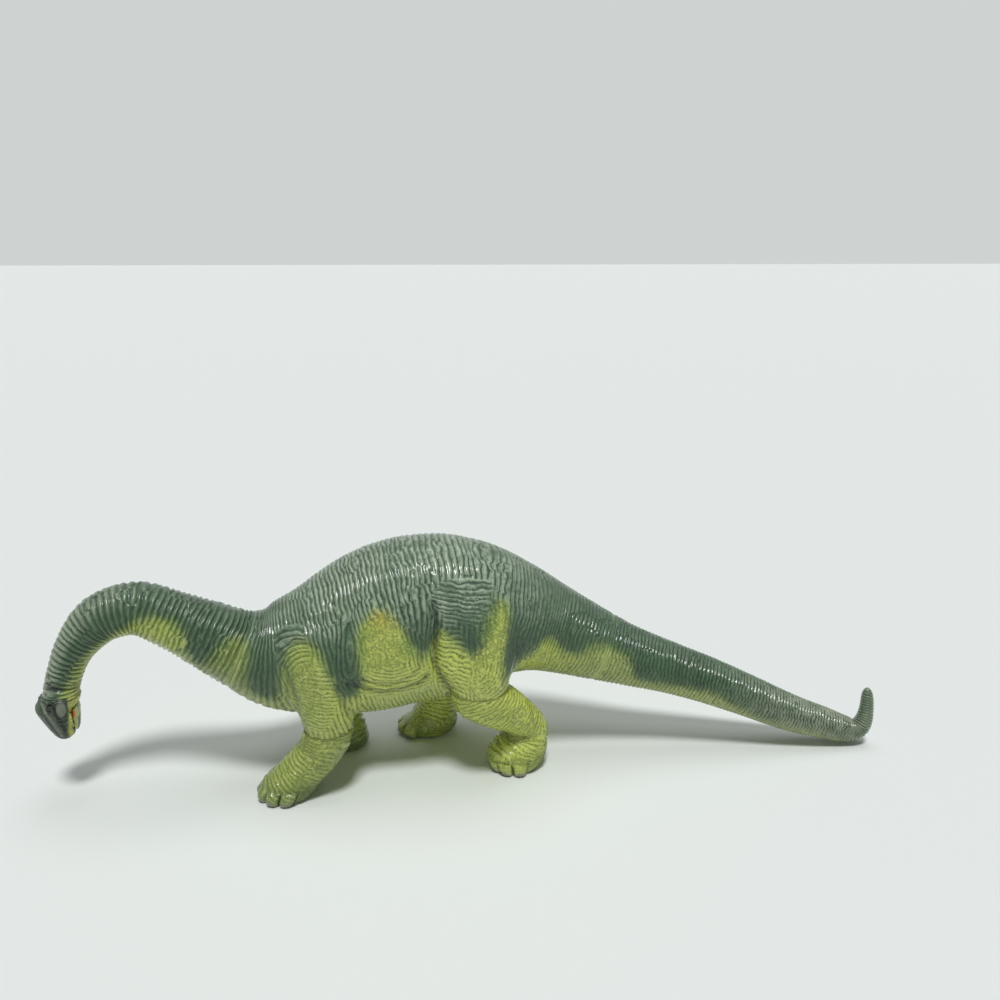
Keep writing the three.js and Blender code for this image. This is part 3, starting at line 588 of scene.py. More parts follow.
# Painted sheen: a painted highlight on the crests of the upper side, strongest on the back
bloom = {"gain": 1.15, "lift": (0.0, 0.55), "uneven": (0.75, 0.6, 14, 27)}
blush = {"at": (-53, 33, 101), "reach": 6.5}              # orange at the top of the flank patch


def shareAlong(name, arc):
    return np.interp(arc, *zip(*alongSpine[name]))


def paleShare(points, arc, lift):     # bleached paint low on the neck and tail
    low = smoothStep(*bleach["lift"], lift + uneven(points, *bleach["ragged"]))
    return np.maximum(low * shareAlong("paleBelow", arc), shareAlong("paleAround", arc))


def wearShare(points, arc, lift):     # grey weathering on the front of the neck and the end of the tail
    front = smoothStep(*wear["front"], arc) * (wear["least"] + smoothStep(*wear["lift"], lift))
    end = smoothStep(*wear["end"], arc) * (wear["endShare"] - wear["hookShare"] * smoothStep(*wear["hook"], arc))
    return np.clip((front + end) * uneven(points, *wear["uneven"]), 0, 1)


def paintedSheenShare(points, arc, lift):    # painted highlight: crests made pale on the upper side, most of all on the back
    high = bloom["gain"] * shareAlong("bloom", arc) * smoothStep(*bloom["lift"], lift)
    return np.clip(high * uneven(points, *bloom["uneven"]), 0, 1)


def blushShare(points):               # the same on both sides
    away = np.stack([points[..., 0], np.abs(points[..., 1]), points[..., 2]], axis=-1) - np.array(blush["at"])
    return bell(lengths(away), blush["reach"])


def skinFields(points, grid, relief, calm, furrow):
    arc, lift = grid["arc"], grid["lift"]
    return {
        "paint": paintDistance(arc, lift, lengths(grid["rays"])), "muted": shareAlong("muted", arc),
        "pale": paleShare(points, arc, lift), "wear": wearShare(points, arc, lift), "spot": blushShare(points),
        "furrow": furrow, "calm": calm, "nail": np.zeros(arc.shape), "bloom": paintedSheenShare(points, arc, lift),
        **relief,
    }


def skinOver(name, smooth, grid, relief, depth, calm, furrow, startLip, endLip):
    points = raised(smooth, (reliefHeight(relief) - 1) * depth * calm)
    points = lipped(points, grid["centre"], startLip, endLip)
    return gridMesh(name, points, skinFields(smooth, grid, relief, calm, furrow))


def cutAway(piece, cutter):           # takes one solid out of another
    change = piece.modifiers.new("cut", "BOOLEAN")
    change.operation = "DIFFERENCE"
    change.solver = "MANIFOLD"
    change.object = cutter
    seen = piece.evaluated_get(bpy.context.evaluated_depsgraph_get())
    mesh = bpy.data.meshes.new_from_object(seen)
    piece.modifiers.clear()
    piece.data = mesh
    mesh.materials.clear()
    bpy.data.objects.remove(cutter)


def legWell(limb, side, places=96):   # a turned block that opens downwards from the seam
    place = jointPlaces[limb["joint"]] * np.array([1, side, 1])
    radius, clearance = limb["seamRadius"], torso["wellClearance"]
    profile = [(radius, 0), (radius + clearance, -clearance / 2), (radius + clearance, -torso["wellDepth"])]
    circle = np.stack([np.cos(ringAngles(places)), np.sin(ringAngles(places))], axis=-1)
    return gridMesh("well", np.array([place + np.column_stack([circle * reach, np.full(places, float(height))])
                                      for reach, height in profile]))


# Furrows and swellings of the body, as lines of the side view: half width, height and how much painted shade lies
# along them
bodyStrokes = [
    {"points": [(-26, 108), (-24.8, 97), (-25.8, 85), (-26.2, 74), (-23.8, 65.8), (-19, 55)],
     "half": 1.7, "height": -2.4, "ink": 0.8},                                        # between flank and thigh
    {"points": [(-20.5, 104), (-20, 95), (-21, 82), (-19, 70)], "half": 3.2, "height": 1.2, "ink": 0},
    {"points": [(-50, 96), (-49, 84), (-50, 74)], "half": 9, "height": 1.0, "ink": 0},
    {"points": [(-72, 67), (-65.4, 63), (-59.3, 59.8), (-52.6, 57.7), (-42.5, 58.7), (-34, 62), (-29.5, 67)],
     "half": 1.3, "height": -1.3, "ink": 0.85},                                       # under the flank
    {"points": [(-62, 65.5), (-52, 61.2), (-42, 61.6), (-35, 66.5), (-30.5, 74)],
     "half": 1.2, "height": 0.5, "ink": 0},
    {"points": [(-65.3, 67.7), (-56.2, 63.9), (-46.3, 63.5), (-38.3, 67.4), (-34, 72.7), (-32.8, 80)],
     "half": 1.1, "height": -0.8, "ink": 0.55},
    {"points": [(-103, 88.2), (-94.5, 90.2), (-86, 87.8)], "half": 1.5, "height": -0.8, "ink": 0.5},
    {"points": [(-101, 92), (-94, 94), (-85, 91)], "half": 2.6, "height": 0.5, "ink": 0},
    {"points": [(-104, 77), (-101, 67), (-99, 58)], "half": 2.0, "height": -1.1, "ink": 0.5},
    {"points": [(-77, 66), (-74, 56), (-71, 48)], "half": 2.2, "height": -1.2, "ink": 0.6},
    {"points": [(22, 78), (19, 68), (15, 60)], "half": 2.2, "height": -1.0, "ink": 0.5},
]


def makeTorso():
    grid = sweptGrid(neckSeam, tailSeam, torso["spacing"], torso["places"])
    arc, lift = grid["arc"], grid["lift"]
    surface = torsoSurface(grid)
    blend = seamFade(arc, neckSeam, tailSeam, torso["softEdge"])
    smooth = surface * (1 - blend[..., None]) + softened(surface, torso["softening"]) * blend[..., None]
    side = smoothStep(*torso["strokeSides"], np.abs(lift))
    swell = sum(stroke["height"] * strokeShare(smooth, stroke) for stroke in bodyStrokes) * side
    # painted shade along the furrows, narrower than the furrows themselves
    furrow = np.max([stroke["ink"] * strokeShare(smooth, {**stroke, "half": stroke["half"] * torso["inkWidth"]})
                     for stroke in bodyStrokes], axis=0) * side
    smooth = raised(smooth, swell * blend)
    relief, depth = torsoRelief(smooth, arc, lift)
    calm = seamFade(arc, neckSeam, tailSeam, torso["fade"])
    piece = skinOver("torso_skin", smooth, grid, relief, depth, calm, furrow, torso["lip"], torso["lip"])
    for limb in limbs.values():
        for side in (1, -1):
            cutAway(piece, legWell(limb, side))
    return piece


# ink: how much painted shade the sunk folds get, and on which side
spineSkin = {"lineEdge": (-0.08, 0.02), "foldSides": (0.97, 0.6), "thin": 9, "ink": 1.4, "inkLift": (-0.55, 0.1)}


def makeSpinePiece(name, first, last, size):
    grid = sweptGrid(first, last, size["spacing"], size["places"], size["startGap"], size["endGap"])
    arc, lift, smooth = grid["arc"], grid["lift"], grid["points"]
    line = smoothStep(*spineSkin["lineEdge"], lift - size["sideLine"])  # the ridges step at the side line
    ring = ringPhase(arc + size["wander"] * wander(smooth, 1)) + 0.5 * line * size["stepShare"]
    relief = plainRelief(ring, forkShare(smooth, 5), 0)
    folds = sum(height * bell(arc - place, half) for place, half, height in size["folds"])
    folds = folds * smoothStep(*spineSkin["foldSides"], np.abs(lift))
    smooth = raised(smooth, folds)
    thin = np.minimum(1, lengths(grid["rays"]) / spineSkin["thin"])    # shallower where the piece is thin
    depth = size["depth"] * thin * uneven(smooth, *ridges["uneven"])
    calm = smoothStep(0, torso["fade"], arc - arcAt(first))
    if size["endGap"]:
        calm = calm * smoothStep(0, torso["fade"], arcAt(last) - arc)
    # painted shade in the sunk folds, except on the underside
    furrow = np.clip(-spineSkin["ink"] * folds, 0, 1) * smoothStep(*spineSkin["inkLift"], lift)
    return skinOver(name, smooth, grid, relief, depth, calm, furrow, size["startLip"], size["endLip"])


neck = {
    "spacing": 0.4, "places": 200, "startGap": 0.0, "endGap": 0.3, "wander": 0.7, "depth": 1.05,
    "sideLine": -0.2, "stepShare": 0, "startLip": 0.3, "endLip": 0.5,
    "folds": [(5.9, 1.8, -0.8), (2.5, 0.9, 0.2), (1.0, 0.5, -0.3)],    # place along the neck, half width, height
}
tail = {
    "spacing": 0.42, "places": 176, "startGap": 0.3, "endGap": 0.0, "wander": 0.8, "depth": 0.8,
    "sideLine": 0.12, "stepShare": 1, "startLip": 0.5, "endLip": 0, "folds": [(505, 5, 0.3)],
}


# Legs. Rows from the seam down to the sole: share of the seam's height, of the step, of the foot's length,
# of its width.

feet = {
    "length": 30, "width": 26,
    "front_left_leg": {
        "along": -23.5, "outward": -2.5,
        "shares": [(1, 0), (0.8, 0.085, 0.44, 0.48), (0.65, 0.255, 0.477, 0.46), (0.44, 0.53, 0.51, 0.46),
                   (0.234, 0.85, 0.527, 0.48), (0.104, 0.957, 0.487, 0.49), (0.03, 1, 0.427, 0.454),
                   (0, 1, 0.367, 0.4)],
    },
    "front_right_leg": {
        "along": 8.5, "outward": -7,
        "shares": [(1, 0), (0.8, 0.15, 0.43, 0.48), (0.6, 0.6, 0.405, 0.45), (0.4, 0.9, 0.41, 0.44),
                   (0.2, 1, 0.44, 0.48), (0.08, 1, 0.45, 0.49), (0.025, 1, 0.41, 0.45), (0, 1, 0.37, 0.4)],
    },
    "hind_left_leg": {
        "along": 22.5, "outward": -6.5,
        "shares": [(1, 0), (0.87, 0.2, 0.63, 0.577), (0.74, 0.42, 0.677, 0.56), (0.64, 0.67, 0.65, 0.52),
                   (0.546, 0.955, 0.533, 0.48), (0.454, 1.22, 0.417, 0.442), (0.38, 1.24, 0.407, 0.435),
                   (0.287, 1.11, 0.5, 0.46), (0.176, 1.01, 0.55, 0.49), (0.074, 1, 0.467, 0.48),
                   (0.024, 1, 0.4, 0.44), (0, 1, 0.35, 0.385)],
    },
    "hind_right_leg": {
        "along": -22.5, "outward": -0.4,
        "shares": [(1, 0), (0.87, 0.07, 0.51, 0.55), (0.76, 0.26, 0.48, 0.53), (0.65, 0.49, 0.423, 0.5),
                   (0.52, 0.644, 0.377, 0.46), (0.39, 0.71, 0.367, 0.435), (0.24, 0.82, 0.443, 0.46),
                   (0.12, 0.98, 0.56, 0.5), (0.046, 1, 0.533, 0.473), (0, 1, 0.467, 0.42)],
    },
}
leg = {
    "spacing": 0.32, "places": 240, "fitGap": 0.3, "pitch": 2.4, "depth": 0.85, "lip": 0.12,
    "toes": 5, "toeFan": 132, "toeTurn": 22,             # degrees round the foot, and outwards
    "toeReach": 2.3, "toeHeight": 7.5, "toeWidth": 15.5, "toeFlat": 2.2,
    "nailWidth": 10, "nailHeight": 3.6, "nailReach": 0.4, "gapWidth": 3.2, "gapDepth": 0.7,
    "soleHeight": 1.4, "soleInset": 1.1,                 # rounding of the edge of the sole
    "sway": 1.2, "uneven": (0.85, 0.4, 4.5), "pebbleEdge": (0.05, 0.3), "pebbleSize": 12, "pebbleDepth": 0.7,
    "topEdge": 0.7, "soleEdge": (0.6, 2.5), "levelEdge": 1.5, "toeCalm": 0.5,
    "frontMuted": 0.5, "hindMuted": 0.0, "lowMuted": 0.4, "dirt": 0.6, "ragged": (0, 1.6, 4),
    # creaseInk and seamInk: painted shade between the toes and just below the seam at the top of the leg
    "creaseInk": 0.6, "seamInk": 0.7, "seamEdge": (1.1, 0.2), "nailEdge": (0.25, -0.1), "creaseFade": (12, 4),
    "mutedEdge": (18, 5), "dirtEdge": (4.0, 0.6), "pebbleLevel": 0.15, "footPebble": 0.3, "footEdge": (8, 3),
}


def legLine(name, limb, side):        # centre and spokes of each ring, from the seam down to the sole
    foot, place = feet[name], jointPlaces[name + "_swivel"]
    rows = [(place[0] + step * foot["along"], side * (abs(place[1]) + step * foot["outward"]), height * place[2],
             *girthOf(girth, (feet["length"], feet["width"]), limb["seamRadius"]))
            for height, step, *girth in foot["shares"]]
    table = curveTable(rows, 400)[::-1]
    top = place[2] - leg["fitGap"]
    levels = np.linspace(top, 0, int(round(top / leg["spacing"])))
    x, y, halfLength, halfWidth = readOff(table, levels, 2, (0, 1, 3, 4))
    return levelRings(x, y, levels, halfLength, halfWidth, leg["places"])


def toesOf(z, side):                  # shares of toe, nail and the crease between two toes
    angle = ringAngles(leg["places"])
    ahead = np.degrees(np.arctan2(side * np.sin(angle), -np.cos(angle)))    # 0 at the front, more outwards
    toe, nail, between = np.zeros(z.shape), np.zeros(z.shape), np.zeros(z.shape)
    spacing = leg["toeFan"] / (leg["toes"] - 1)
    above = np.clip(z - leg["toeFlat"], 0, None) / (leg["toeHeight"] - leg["toeFlat"])
    for k in range(leg["toes"]):
        off = ahead - leg["toeTurn"] - leg["toeFan"] * (k / (leg["toes"] - 1) - 0.5)
        width, nailShape = (np.sqrt(np.clip(1 - (off / leg[key]) ** 2, 0, 1)) for key in ("toeWidth", "nailWidth"))
        toe = np.maximum(toe, width * np.sqrt(np.clip(1 - above ** 2, 0, 1)))
        nail = np.maximum(nail, smoothStep(*leg["nailEdge"], z - leg["nailHeight"] * nailShape))
        creases = [bell(off + turn * spacing / 2, leg["gapWidth"]) for turn in (1, -1)]
        between = np.maximum(between, creases[0] + creases[1])
    return toe, nail, between * smoothStep(*leg["creaseFade"], z)


def makeLeg(name, seed):
    kind = "front" if name.startswith("front") else "hind"
    side = math.copysign(1, jointPlaces[name + "_swivel"][1])
    centre, spokes = legLine(name, limbs[kind], side)
    middle, top = centre[:, 0], centre[0, 0, 2]
    z = np.repeat(centre[..., 2], leg["places"], axis=1)
    toe, nail, between = toesOf(z, side)
    length = lengths(spokes)
    inset = leg["soleInset"] * (1 - quarterRound(np.clip(z / leg["soleHeight"], 0, 1)))
    grown = length + toe * leg["toeReach"] + nail * leg["nailReach"] - between * leg["gapDepth"] - inset
    smooth = centre + spokes * (grown / length)[..., None]

    # ridges run round the leg, square to its own line
    tangent = unit(np.gradient(middle, axis=0))
    arc = np.concatenate([[0], np.cumsum(lengths(np.diff(middle, axis=0)))])
    along = arc[:, None] + np.einsum("ijk,ik->ij", smooth - centre, tangent)
    patchy = noise(smooth, leg["pebbleSize"], seed + 4) - leg["pebbleLevel"]
    pebble = smoothStep(*leg["pebbleEdge"], patchy + leg["footPebble"] * smoothStep(*leg["footEdge"], z))
    ring = (along + leg["sway"] * wander(smooth, seed)) / leg["pitch"]
    relief = plainRelief(ring, forkShare(smooth, seed + 5), pebble)
    depth = leg["depth"] * uneven(smooth, *leg["uneven"], seed + 6) * (1 - leg["pebbleDepth"] * pebble)
    calm = (smoothStep(-leg["topEdge"], leg["topEdge"], top - z) * smoothStep(*leg["soleEdge"], z)
            * (1 - nail) * (1 - leg["toeCalm"] * toe))
    offset = raised(smooth, (reliefHeight(relief) - 1) * depth * calm) - smooth
    offset[..., 2] *= smoothStep(0, leg["levelEdge"], top - z)           # the seam stays level
    points = smooth + offset
    points[-1, :, 2] = 0
    points = lipped(points, centre, leg["lip"], 0)
    none = np.zeros(z.shape)
    fields = {
        "paint": none + paintEdge["reach"], "pale": none, "spot": none, "bloom": none,
        "muted": leg[kind + "Muted"] + leg["lowMuted"] * smoothStep(*leg["mutedEdge"], z),
        "wear": smoothStep(*leg["dirtEdge"], z + uneven(smooth, *leg["ragged"], seed + 8)) * leg["dirt"],
        # painted shade between the toes and just below the seam
        "furrow": np.maximum(leg["creaseInk"] * np.clip(between, 0, 1),
                             leg["seamInk"] * smoothStep(*leg["seamEdge"], top - z)),
        "calm": calm, "nail": nail, **relief,
    }
    return gridMesh(name.replace("_leg", "_leg_skin"), points, fields)


# Materials

class Wire:                           # one output socket, used in sums as if it were a number
    def __init__(self, look, socket):
        self.look = look
        self.socket = socket
        self.wide = socket.type in {"RGBA", "VECTOR"}

    def sum(self, operation, first, second=None):
        parts = [part for part in (first, second) if part is not None]
        wide = any(isinstance(part, Wire) and part.wide for part in parts)
        if wide:
            parts = [part if isinstance(part, Wire) or not np.isscalar(part) else (part,) * 3 for part in parts]
        kind = "ShaderNodeVectorMath" if wide else "ShaderNodeMath"
        return self.look.node(kind, {"operation": operation}, dict(enumerate(parts)))

    def __add__(self, other): return self.sum("ADD", self, other)
    def __radd__(self, other): return self.sum("ADD", other, self)
    def __sub__(self, other): return self.sum("SUBTRACT", self, other)
    def __rsub__(self, other): return self.sum("SUBTRACT", other, self)
    def __mul__(self, other): return self.sum("MULTIPLY", self, other)
    def __rmul__(self, other): return self.sum("MULTIPLY", other, self)
    def __pow__(self, other): return self.sum("POWER", self, other)
    def __abs__(self): return self.sum("ABSOLUTE", self)
    def sine(self): return self.sum("SINE", self)


class Look:                           # a material being put together
    def __init__(self, name):
        self.material = bpy.data.materials.new(name)
        self.material.use_nodes = True
        self.tree = self.material.node_tree
        self.tree.nodes.clear()

    @classmethod
    def over(cls, tree):              # the same tools for the world's nodes
        look = cls.__new__(cls)
        look.tree = tree
        tree.nodes.clear()
        return look

    def node(self, kind, settings=None, values=None, output=0):
        made = self.tree.nodes.new(kind)
        for key, value in (settings or {}).items():
            setattr(made, key, value)
        for key, value in (values or {}).items():
            if isinstance(value, Wire):
                self.tree.links.new(value.socket, made.inputs[key])
            else:
                made.inputs[key].default_value = value
        return Wire(self, made.outputs[output]) if made.outputs else None

    def rays(self, kind):
        return self.node("ShaderNodeLightPath", output=kind)

    def field(self, name):
        return self.node("ShaderNodeAttribute", {"attribute_name": name}, output="Fac")

    def place(self):
        return self.node("ShaderNodeTexCoord", output="Object")

    def noise(self, place, scale, detail=3, rough=0.6):
        return self.node("ShaderNodeTexNoise", {},
                         {"Vector": place, "Scale": scale, "Detail": detail, "Roughness": rough})

    def scatter(self, place, scale):  # a vector from -0.5 to 0.5 that changes from place to place
        return self.node("ShaderNodeTexNoise", {}, {"Vector": place, "Scale": scale, "Detail": 2.0}, "Color") - 0.5

    def between(self, low, high, value):
        return self.node("ShaderNodeMapRange", {"interpolation_type": "SMOOTHSTEP"},
                         {"Value": value, "From Min": low, "From Max": high})

    def mix(self, share, first, second):
        first, second = (paint if isinstance(paint, Wire) else (*paint, 1) for paint in (first, second))
        return self.node("ShaderNodeMix", {"data_type": "RGBA"}, {0: share, 6: first, 7: second}, output=2)

    def coats(self, colour, *layers): # each layer is a share and a paint over what is below
        for share, paint in layers:
            colour = self.mix(share, colour, paint)
        return colour

    def bump(self, height, strength, distance, normal=None):
        values = {"Height": height, "Strength": strength, "Distance": distance}
        if normal:
            values["Normal"] = normal
        return self.node("ShaderNodeBump", {}, values)

    def finish(self, values):
        surface = self.node("ShaderNodeBsdfPrincipled", {}, values)
        self.node("ShaderNodeOutputMaterial", {}, {"Surface": surface})
        return self.material


skinPaint = {
    # darkCrest and lightCrest are painted highlights on the crests of the ridges
    "dark": (0.026, 0.075, 0.03), "darkFaded": (0.044, 0.108, 0.044), "darkCrest": (0.1, 0.18, 0.086),
    # darkCrease: painted shade in the creases of the dark paint
    "darkCrease": (0.006, 0.017, 0.007), "bloom": (0.42, 0.52, 0.38), "middle": (0.11, 0.19, 0.045),
    "light": (0.7, 0.78, 0.15), "lightDeep": (0.57, 0.67, 0.105), "lightCrest": (0.78, 0.82, 0.36),
    # lightCrease: a dark wash with painted shade in the creases of the light paint
    "lightCrease": (0.085, 0.145, 0.018), "haze": (0.2, 0.34, 0.06),
    "muted": (0.12, 0.19, 0.045), "pale": (0.44, 0.5, 0.25), "grey": (0.34, 0.385, 0.27),
    "taupe": (0.19, 0.155, 0.13), "orange": (0.52, 0.36, 0.05),
}


def ridgeHeight(phase):               # the same steps as in the mesh, with narrow creases
    return 1 - (1 - abs((phase * math.pi).sine())) ** 1.5


# where each step starts and ends; low and crease pick the creases that get painted shade
skinSteps = {
    "low": (0.62, 0.15), "crease": (0.74, 0.2), "high": (0.68, 1.05), "top": (0.4, 0.95), "worn": (0.35, 0.85),
    "paint": (-3.2, 3.6), "middle": (-6.5, -0.8), "nearEdge": (7.5, 1.0), "offEdge": (-1.0, 2.0),
    "faded": (0.35, 0.7), "deep": (0.3, 0.7), "hazy": (0.4, 0.6), "bloomed": (0.15, 0.65),
    "creased": (0.08, 0.42), "inked": (0.2, 0.5),
}
# scale, detail and roughness of the noises
skinGrain = {"broad": (45, 4), "mottle": (260, 3), "speck": (1100, 2), "grit": (620, 2, 0.5),
             "worm": (330, 2), "crackle": (600, 2)}


def skinLook(name, seed, creaseShadeShare=0.8, dryBrush=1.8):
    look, paints = Look(name), skinPaint
    place = look.place() + (seed * 0.37, seed * 0.11, 0.0)
    broad, mottle, speck, grit = (look.noise(place, *skinGrain[key]) for key in ("broad", "mottle", "speck", "grit"))
    calm, fork, foldShare, pebble = (look.field(key) for key in ("calm", "fork", "foldShare", "pebble"))
    jitter = (mottle - 0.5) * 0.5 + (grit - 0.5) * 0.4

    def forked(phase):                # with finer wrinkles on the ridges
        shifted = phase + jitter + fork * 0.5
        return ridgeHeight(shifted) * 0.68 + ridgeHeight(shifted * 2 + 0.4 + (grit - 0.5) * 0.6) * 0.32

    def step(key, value):
        return look.between(*skinSteps[key], value)

    def cracks(start, key, width):    # fine crinkles all ways
        return look.between(0.0, width, abs(look.noise(start, *skinGrain[key]) - 0.5))

    ridge = forked(look.field("ring")) * (1 - foldShare) + forked(look.field("fold")) * foldShare
    worm, crackle = cracks(place, "worm", 0.11), cracks(place + (0.4, 0.2, 0.1), "crackle", 0.12)
    crinkle = (worm * 0.7 + 0.3) * (crackle * 0.5 + 0.5) * (ridge * 0.3 + 0.7)
    crinkled = pebble * 0.6 + 0.3 * step("offEdge", look.field("paint"))
    height = (ridge * (1 - crinkled) + crinkle * crinkled) * (0.7 + grit * 0.6)
    height = 1 - (1 - height) * calm
    # low and crease pick the creases, which get painted shade
    low = step("low", height + (speck - 0.5) * 0.3)
    crease = step("crease", height + (speck - 0.5) * 0.45)
    # high and top pick the crests, which get painted highlights
    high = step("high", height + (mottle - 0.5) * 0.6)
    top = step("top", ridge * (1 - pebble * 0.6) + crinkle * pebble * 0.6 + (grit - 0.5) * 0.4)

    edge = look.field("paint") + (mottle - 0.5) * 3.5 + (broad - 0.5) * 6.0 + (height - 0.7) * dryBrush
    dark = look.coats(
        paints["dark"], (step("faded", broad), paints["darkFaded"]),
        # painted highlight on the crests
        (step("middle", edge) * 0.5, paints["middle"]), (high * 0.6, paints["darkCrest"]),
        # painted sheen: a painted highlight on the crests of the back
        (top * look.field("bloom") * step("bloomed", mottle) * 0.9, paints["bloom"]),
        # painted shade in the creases
        (low * creaseShadeShare, paints["darkCrease"]))
    light = look.coats(
        paints["light"], (step("deep", broad), paints["lightDeep"]),
        (step("nearEdge", edge) * step("hazy", broad) * 0.6, paints["haze"]),
        (look.field("muted"), paints["muted"]), (look.field("pale") * 0.6, paints["pale"]),
        # painted highlight on the crests
        (high * 0.35, paints["lightCrest"]), (look.field("spot") * 0.5, paints["orange"]),
        # a dark wash with painted shade in the creases
        (crease * step("creased", mottle) * (1 - pebble * 0.4), paints["lightCrease"]))
    worn = look.field("wear") * step("worn", height + (mottle - 0.5) * 0.6)
    colour = look.coats(dark, (step("paint", edge), light), (worn * 0.85, paints["grey"]))
    # painted shade in the furrows, the folds, between the toes and at the leg seams
    colour = look.mix(look.field("furrow") * step("inked", mottle), colour, colour * 0.22)
    colour = look.mix(look.field("nail") * 0.8, colour, paints["taupe"])

    pores = look.node("ShaderNodeTexVoronoi", {"feature": "SMOOTH_F1"}, {"Vector": place, "Scale": 900.0})
    fine = look.bump(speck * 0.7 + pores * 0.5, 0.35, 0.0002, look.bump(height, 1.0, 0.0006))
    return look.finish({
        "Base Color": colour, "Roughness": 0.33 + (mottle - 0.5) * 0.2 + low * 0.2, "Normal": fine,
        "Coat Weight": 0.65, "Coat Roughness": 0.15, "IOR": 1.4,
    })


# darkCrest is a painted highlight on the raised parts, crease painted shade in the sunk parts
headPaint = {
    "dark": (0.028, 0.052, 0.03), "darkFaded": (0.062, 0.09, 0.055), "darkCrest": (0.24, 0.27, 0.2),
    "crease": (0.008, 0.016, 0.008), "light": (0.56, 0.6, 0.16), "lightDeep": (0.4, 0.43, 0.09),
    "pad": (0.14, 0.15, 0.12), "red": (0.6, 0.1, 0.02),
}


def headLook(name, seed):
    look, paints = Look(name), headPaint
    place = look.place() + (seed * 0.23, 0.0, seed * 0.19)
    mottle, speck = look.noise(place, 420), look.noise(place, 1500, 2)
    height = look.field("height") + (speck - 0.5) * 0.25
    dark = look.coats(
        paints["dark"], (look.between(0.35, 0.7, mottle), paints["darkFaded"]),
        # painted highlight on the raised parts
        (look.field("pad"), paints["pad"]), (look.between(0.62, 1.0, height) * 0.75, paints["darkCrest"]))
    light = look.mix(look.between(0.4, 0.65, mottle), paints["light"], paints["lightDeep"])
    colour = look.coats(
        dark, (look.between(-0.7, 0.8, look.field("paint") + (mottle - 0.5) * 1.6), light),
        # painted shade in the sunk parts
        (look.between(0.48, 0.1, height) * 0.9, paints["crease"]),
        (look.between(0.25, 0.75, look.field("red") + (mottle - 0.5) * 0.5), paints["red"]))
    fine = look.bump(speck + mottle, 0.3, 0.00012, look.bump(height, 0.35, 0.0002))
    return look.finish({
        "Base Color": colour, "Roughness": 0.33 + (mottle - 0.5) * 0.2, "Normal": fine, "Coat Weight": 0.12,
        "Coat Roughness": 0.2, "IOR": 1.5,
    })


# Plain paints: two colours by a grain, roughness and what the grain adds to it, bump strength and distance
plainPaint = {
    "mouthRed": {"colours": ((0.3, 0.05, 0.025), (0.56, 0.16, 0.07)), "scale": (900,), "rough": (0.3, 0.1),
                 "bump": (0.4, 0.0002), "coat": 0.3},
    "toothIvory": {"colours": ((0.5, 0.48, 0.25), (0.78, 0.77, 0.5)), "scale": (700,), "rough": (0.36, 0.08),
                   "bump": (0.2, 0.0001), "coat": 0.0},
    "stuffingFibre": {"colours": ((0.55, 0.56, 0.54), (0.86, 0.87, 0.85)), "scale": (900, 5, 0.7),
                      "rough": (0.85, 0.1), "bump": (0.9, 0.0008), "coat": 0.0, "drift": (60, 0.03)},
}


def plainLook(name):
    look, paint = Look(name), plainPaint[name]
    place = look.place()
    if "drift" in paint:              # the grain is drawn out into strands
        scale, reach = paint["drift"]
        place = place + look.scatter(place, scale) * reach
    grain = look.noise(place, *paint["scale"])
    rough, more = paint["rough"]
    return look.finish({"Base Color": look.mix(grain, *paint["colours"]), "Roughness": rough + grain * more,
                        "Normal": look.bump(grain, *paint["bump"]), "Coat Weight": paint["coat"]})


def eyeLook():                        # near black, with a brown ring and a clear coat
    look = Look("eyeGloss")
    grain = look.noise(look.place(), 1800)
    brown = look.mix(grain, (0.02, 0.012, 0.006), (0.07, 0.04, 0.015))
    return look.finish({"Base Color": look.mix(look.field("iris"), (0.007, 0.006, 0.006), brown),
                        "Roughness": 0.14 + grain * 0.04, "Coat Weight": 0.6, "Coat Roughness": 0.05})


def dress(piece, node, body, material):
    piece.data.materials.append(material)
    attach(piece, body)
    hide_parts(node)
    return piece


dress(makeTorso(), "torso_shell", "torso", skinLook("torsoPaint", 0))
print("torso made")
dress(makeSpinePiece("neck_skin", 0, neckSeam, neck), "neck", "neck", skinLook("neckPaint", 1, 0.85, 4.5))
dress(makeSpinePiece("tail_skin", tailSeam, spineEnd, tail), "tail", "tail", skinLook("tailPaint", 2))
print("neck and tail made")
for number, legName in enumerate(("front_left_leg", "front_right_leg", "hind_left_leg", "hind_right_leg")):
    dress(makeLeg(legName, 100 + 20 * number), legName, legName, skinLook(legName + "Paint", 3 + number))
print("legs made")


# Head. It hangs straight down; heights are shares of its length below the seam, lengths grow towards the throat.

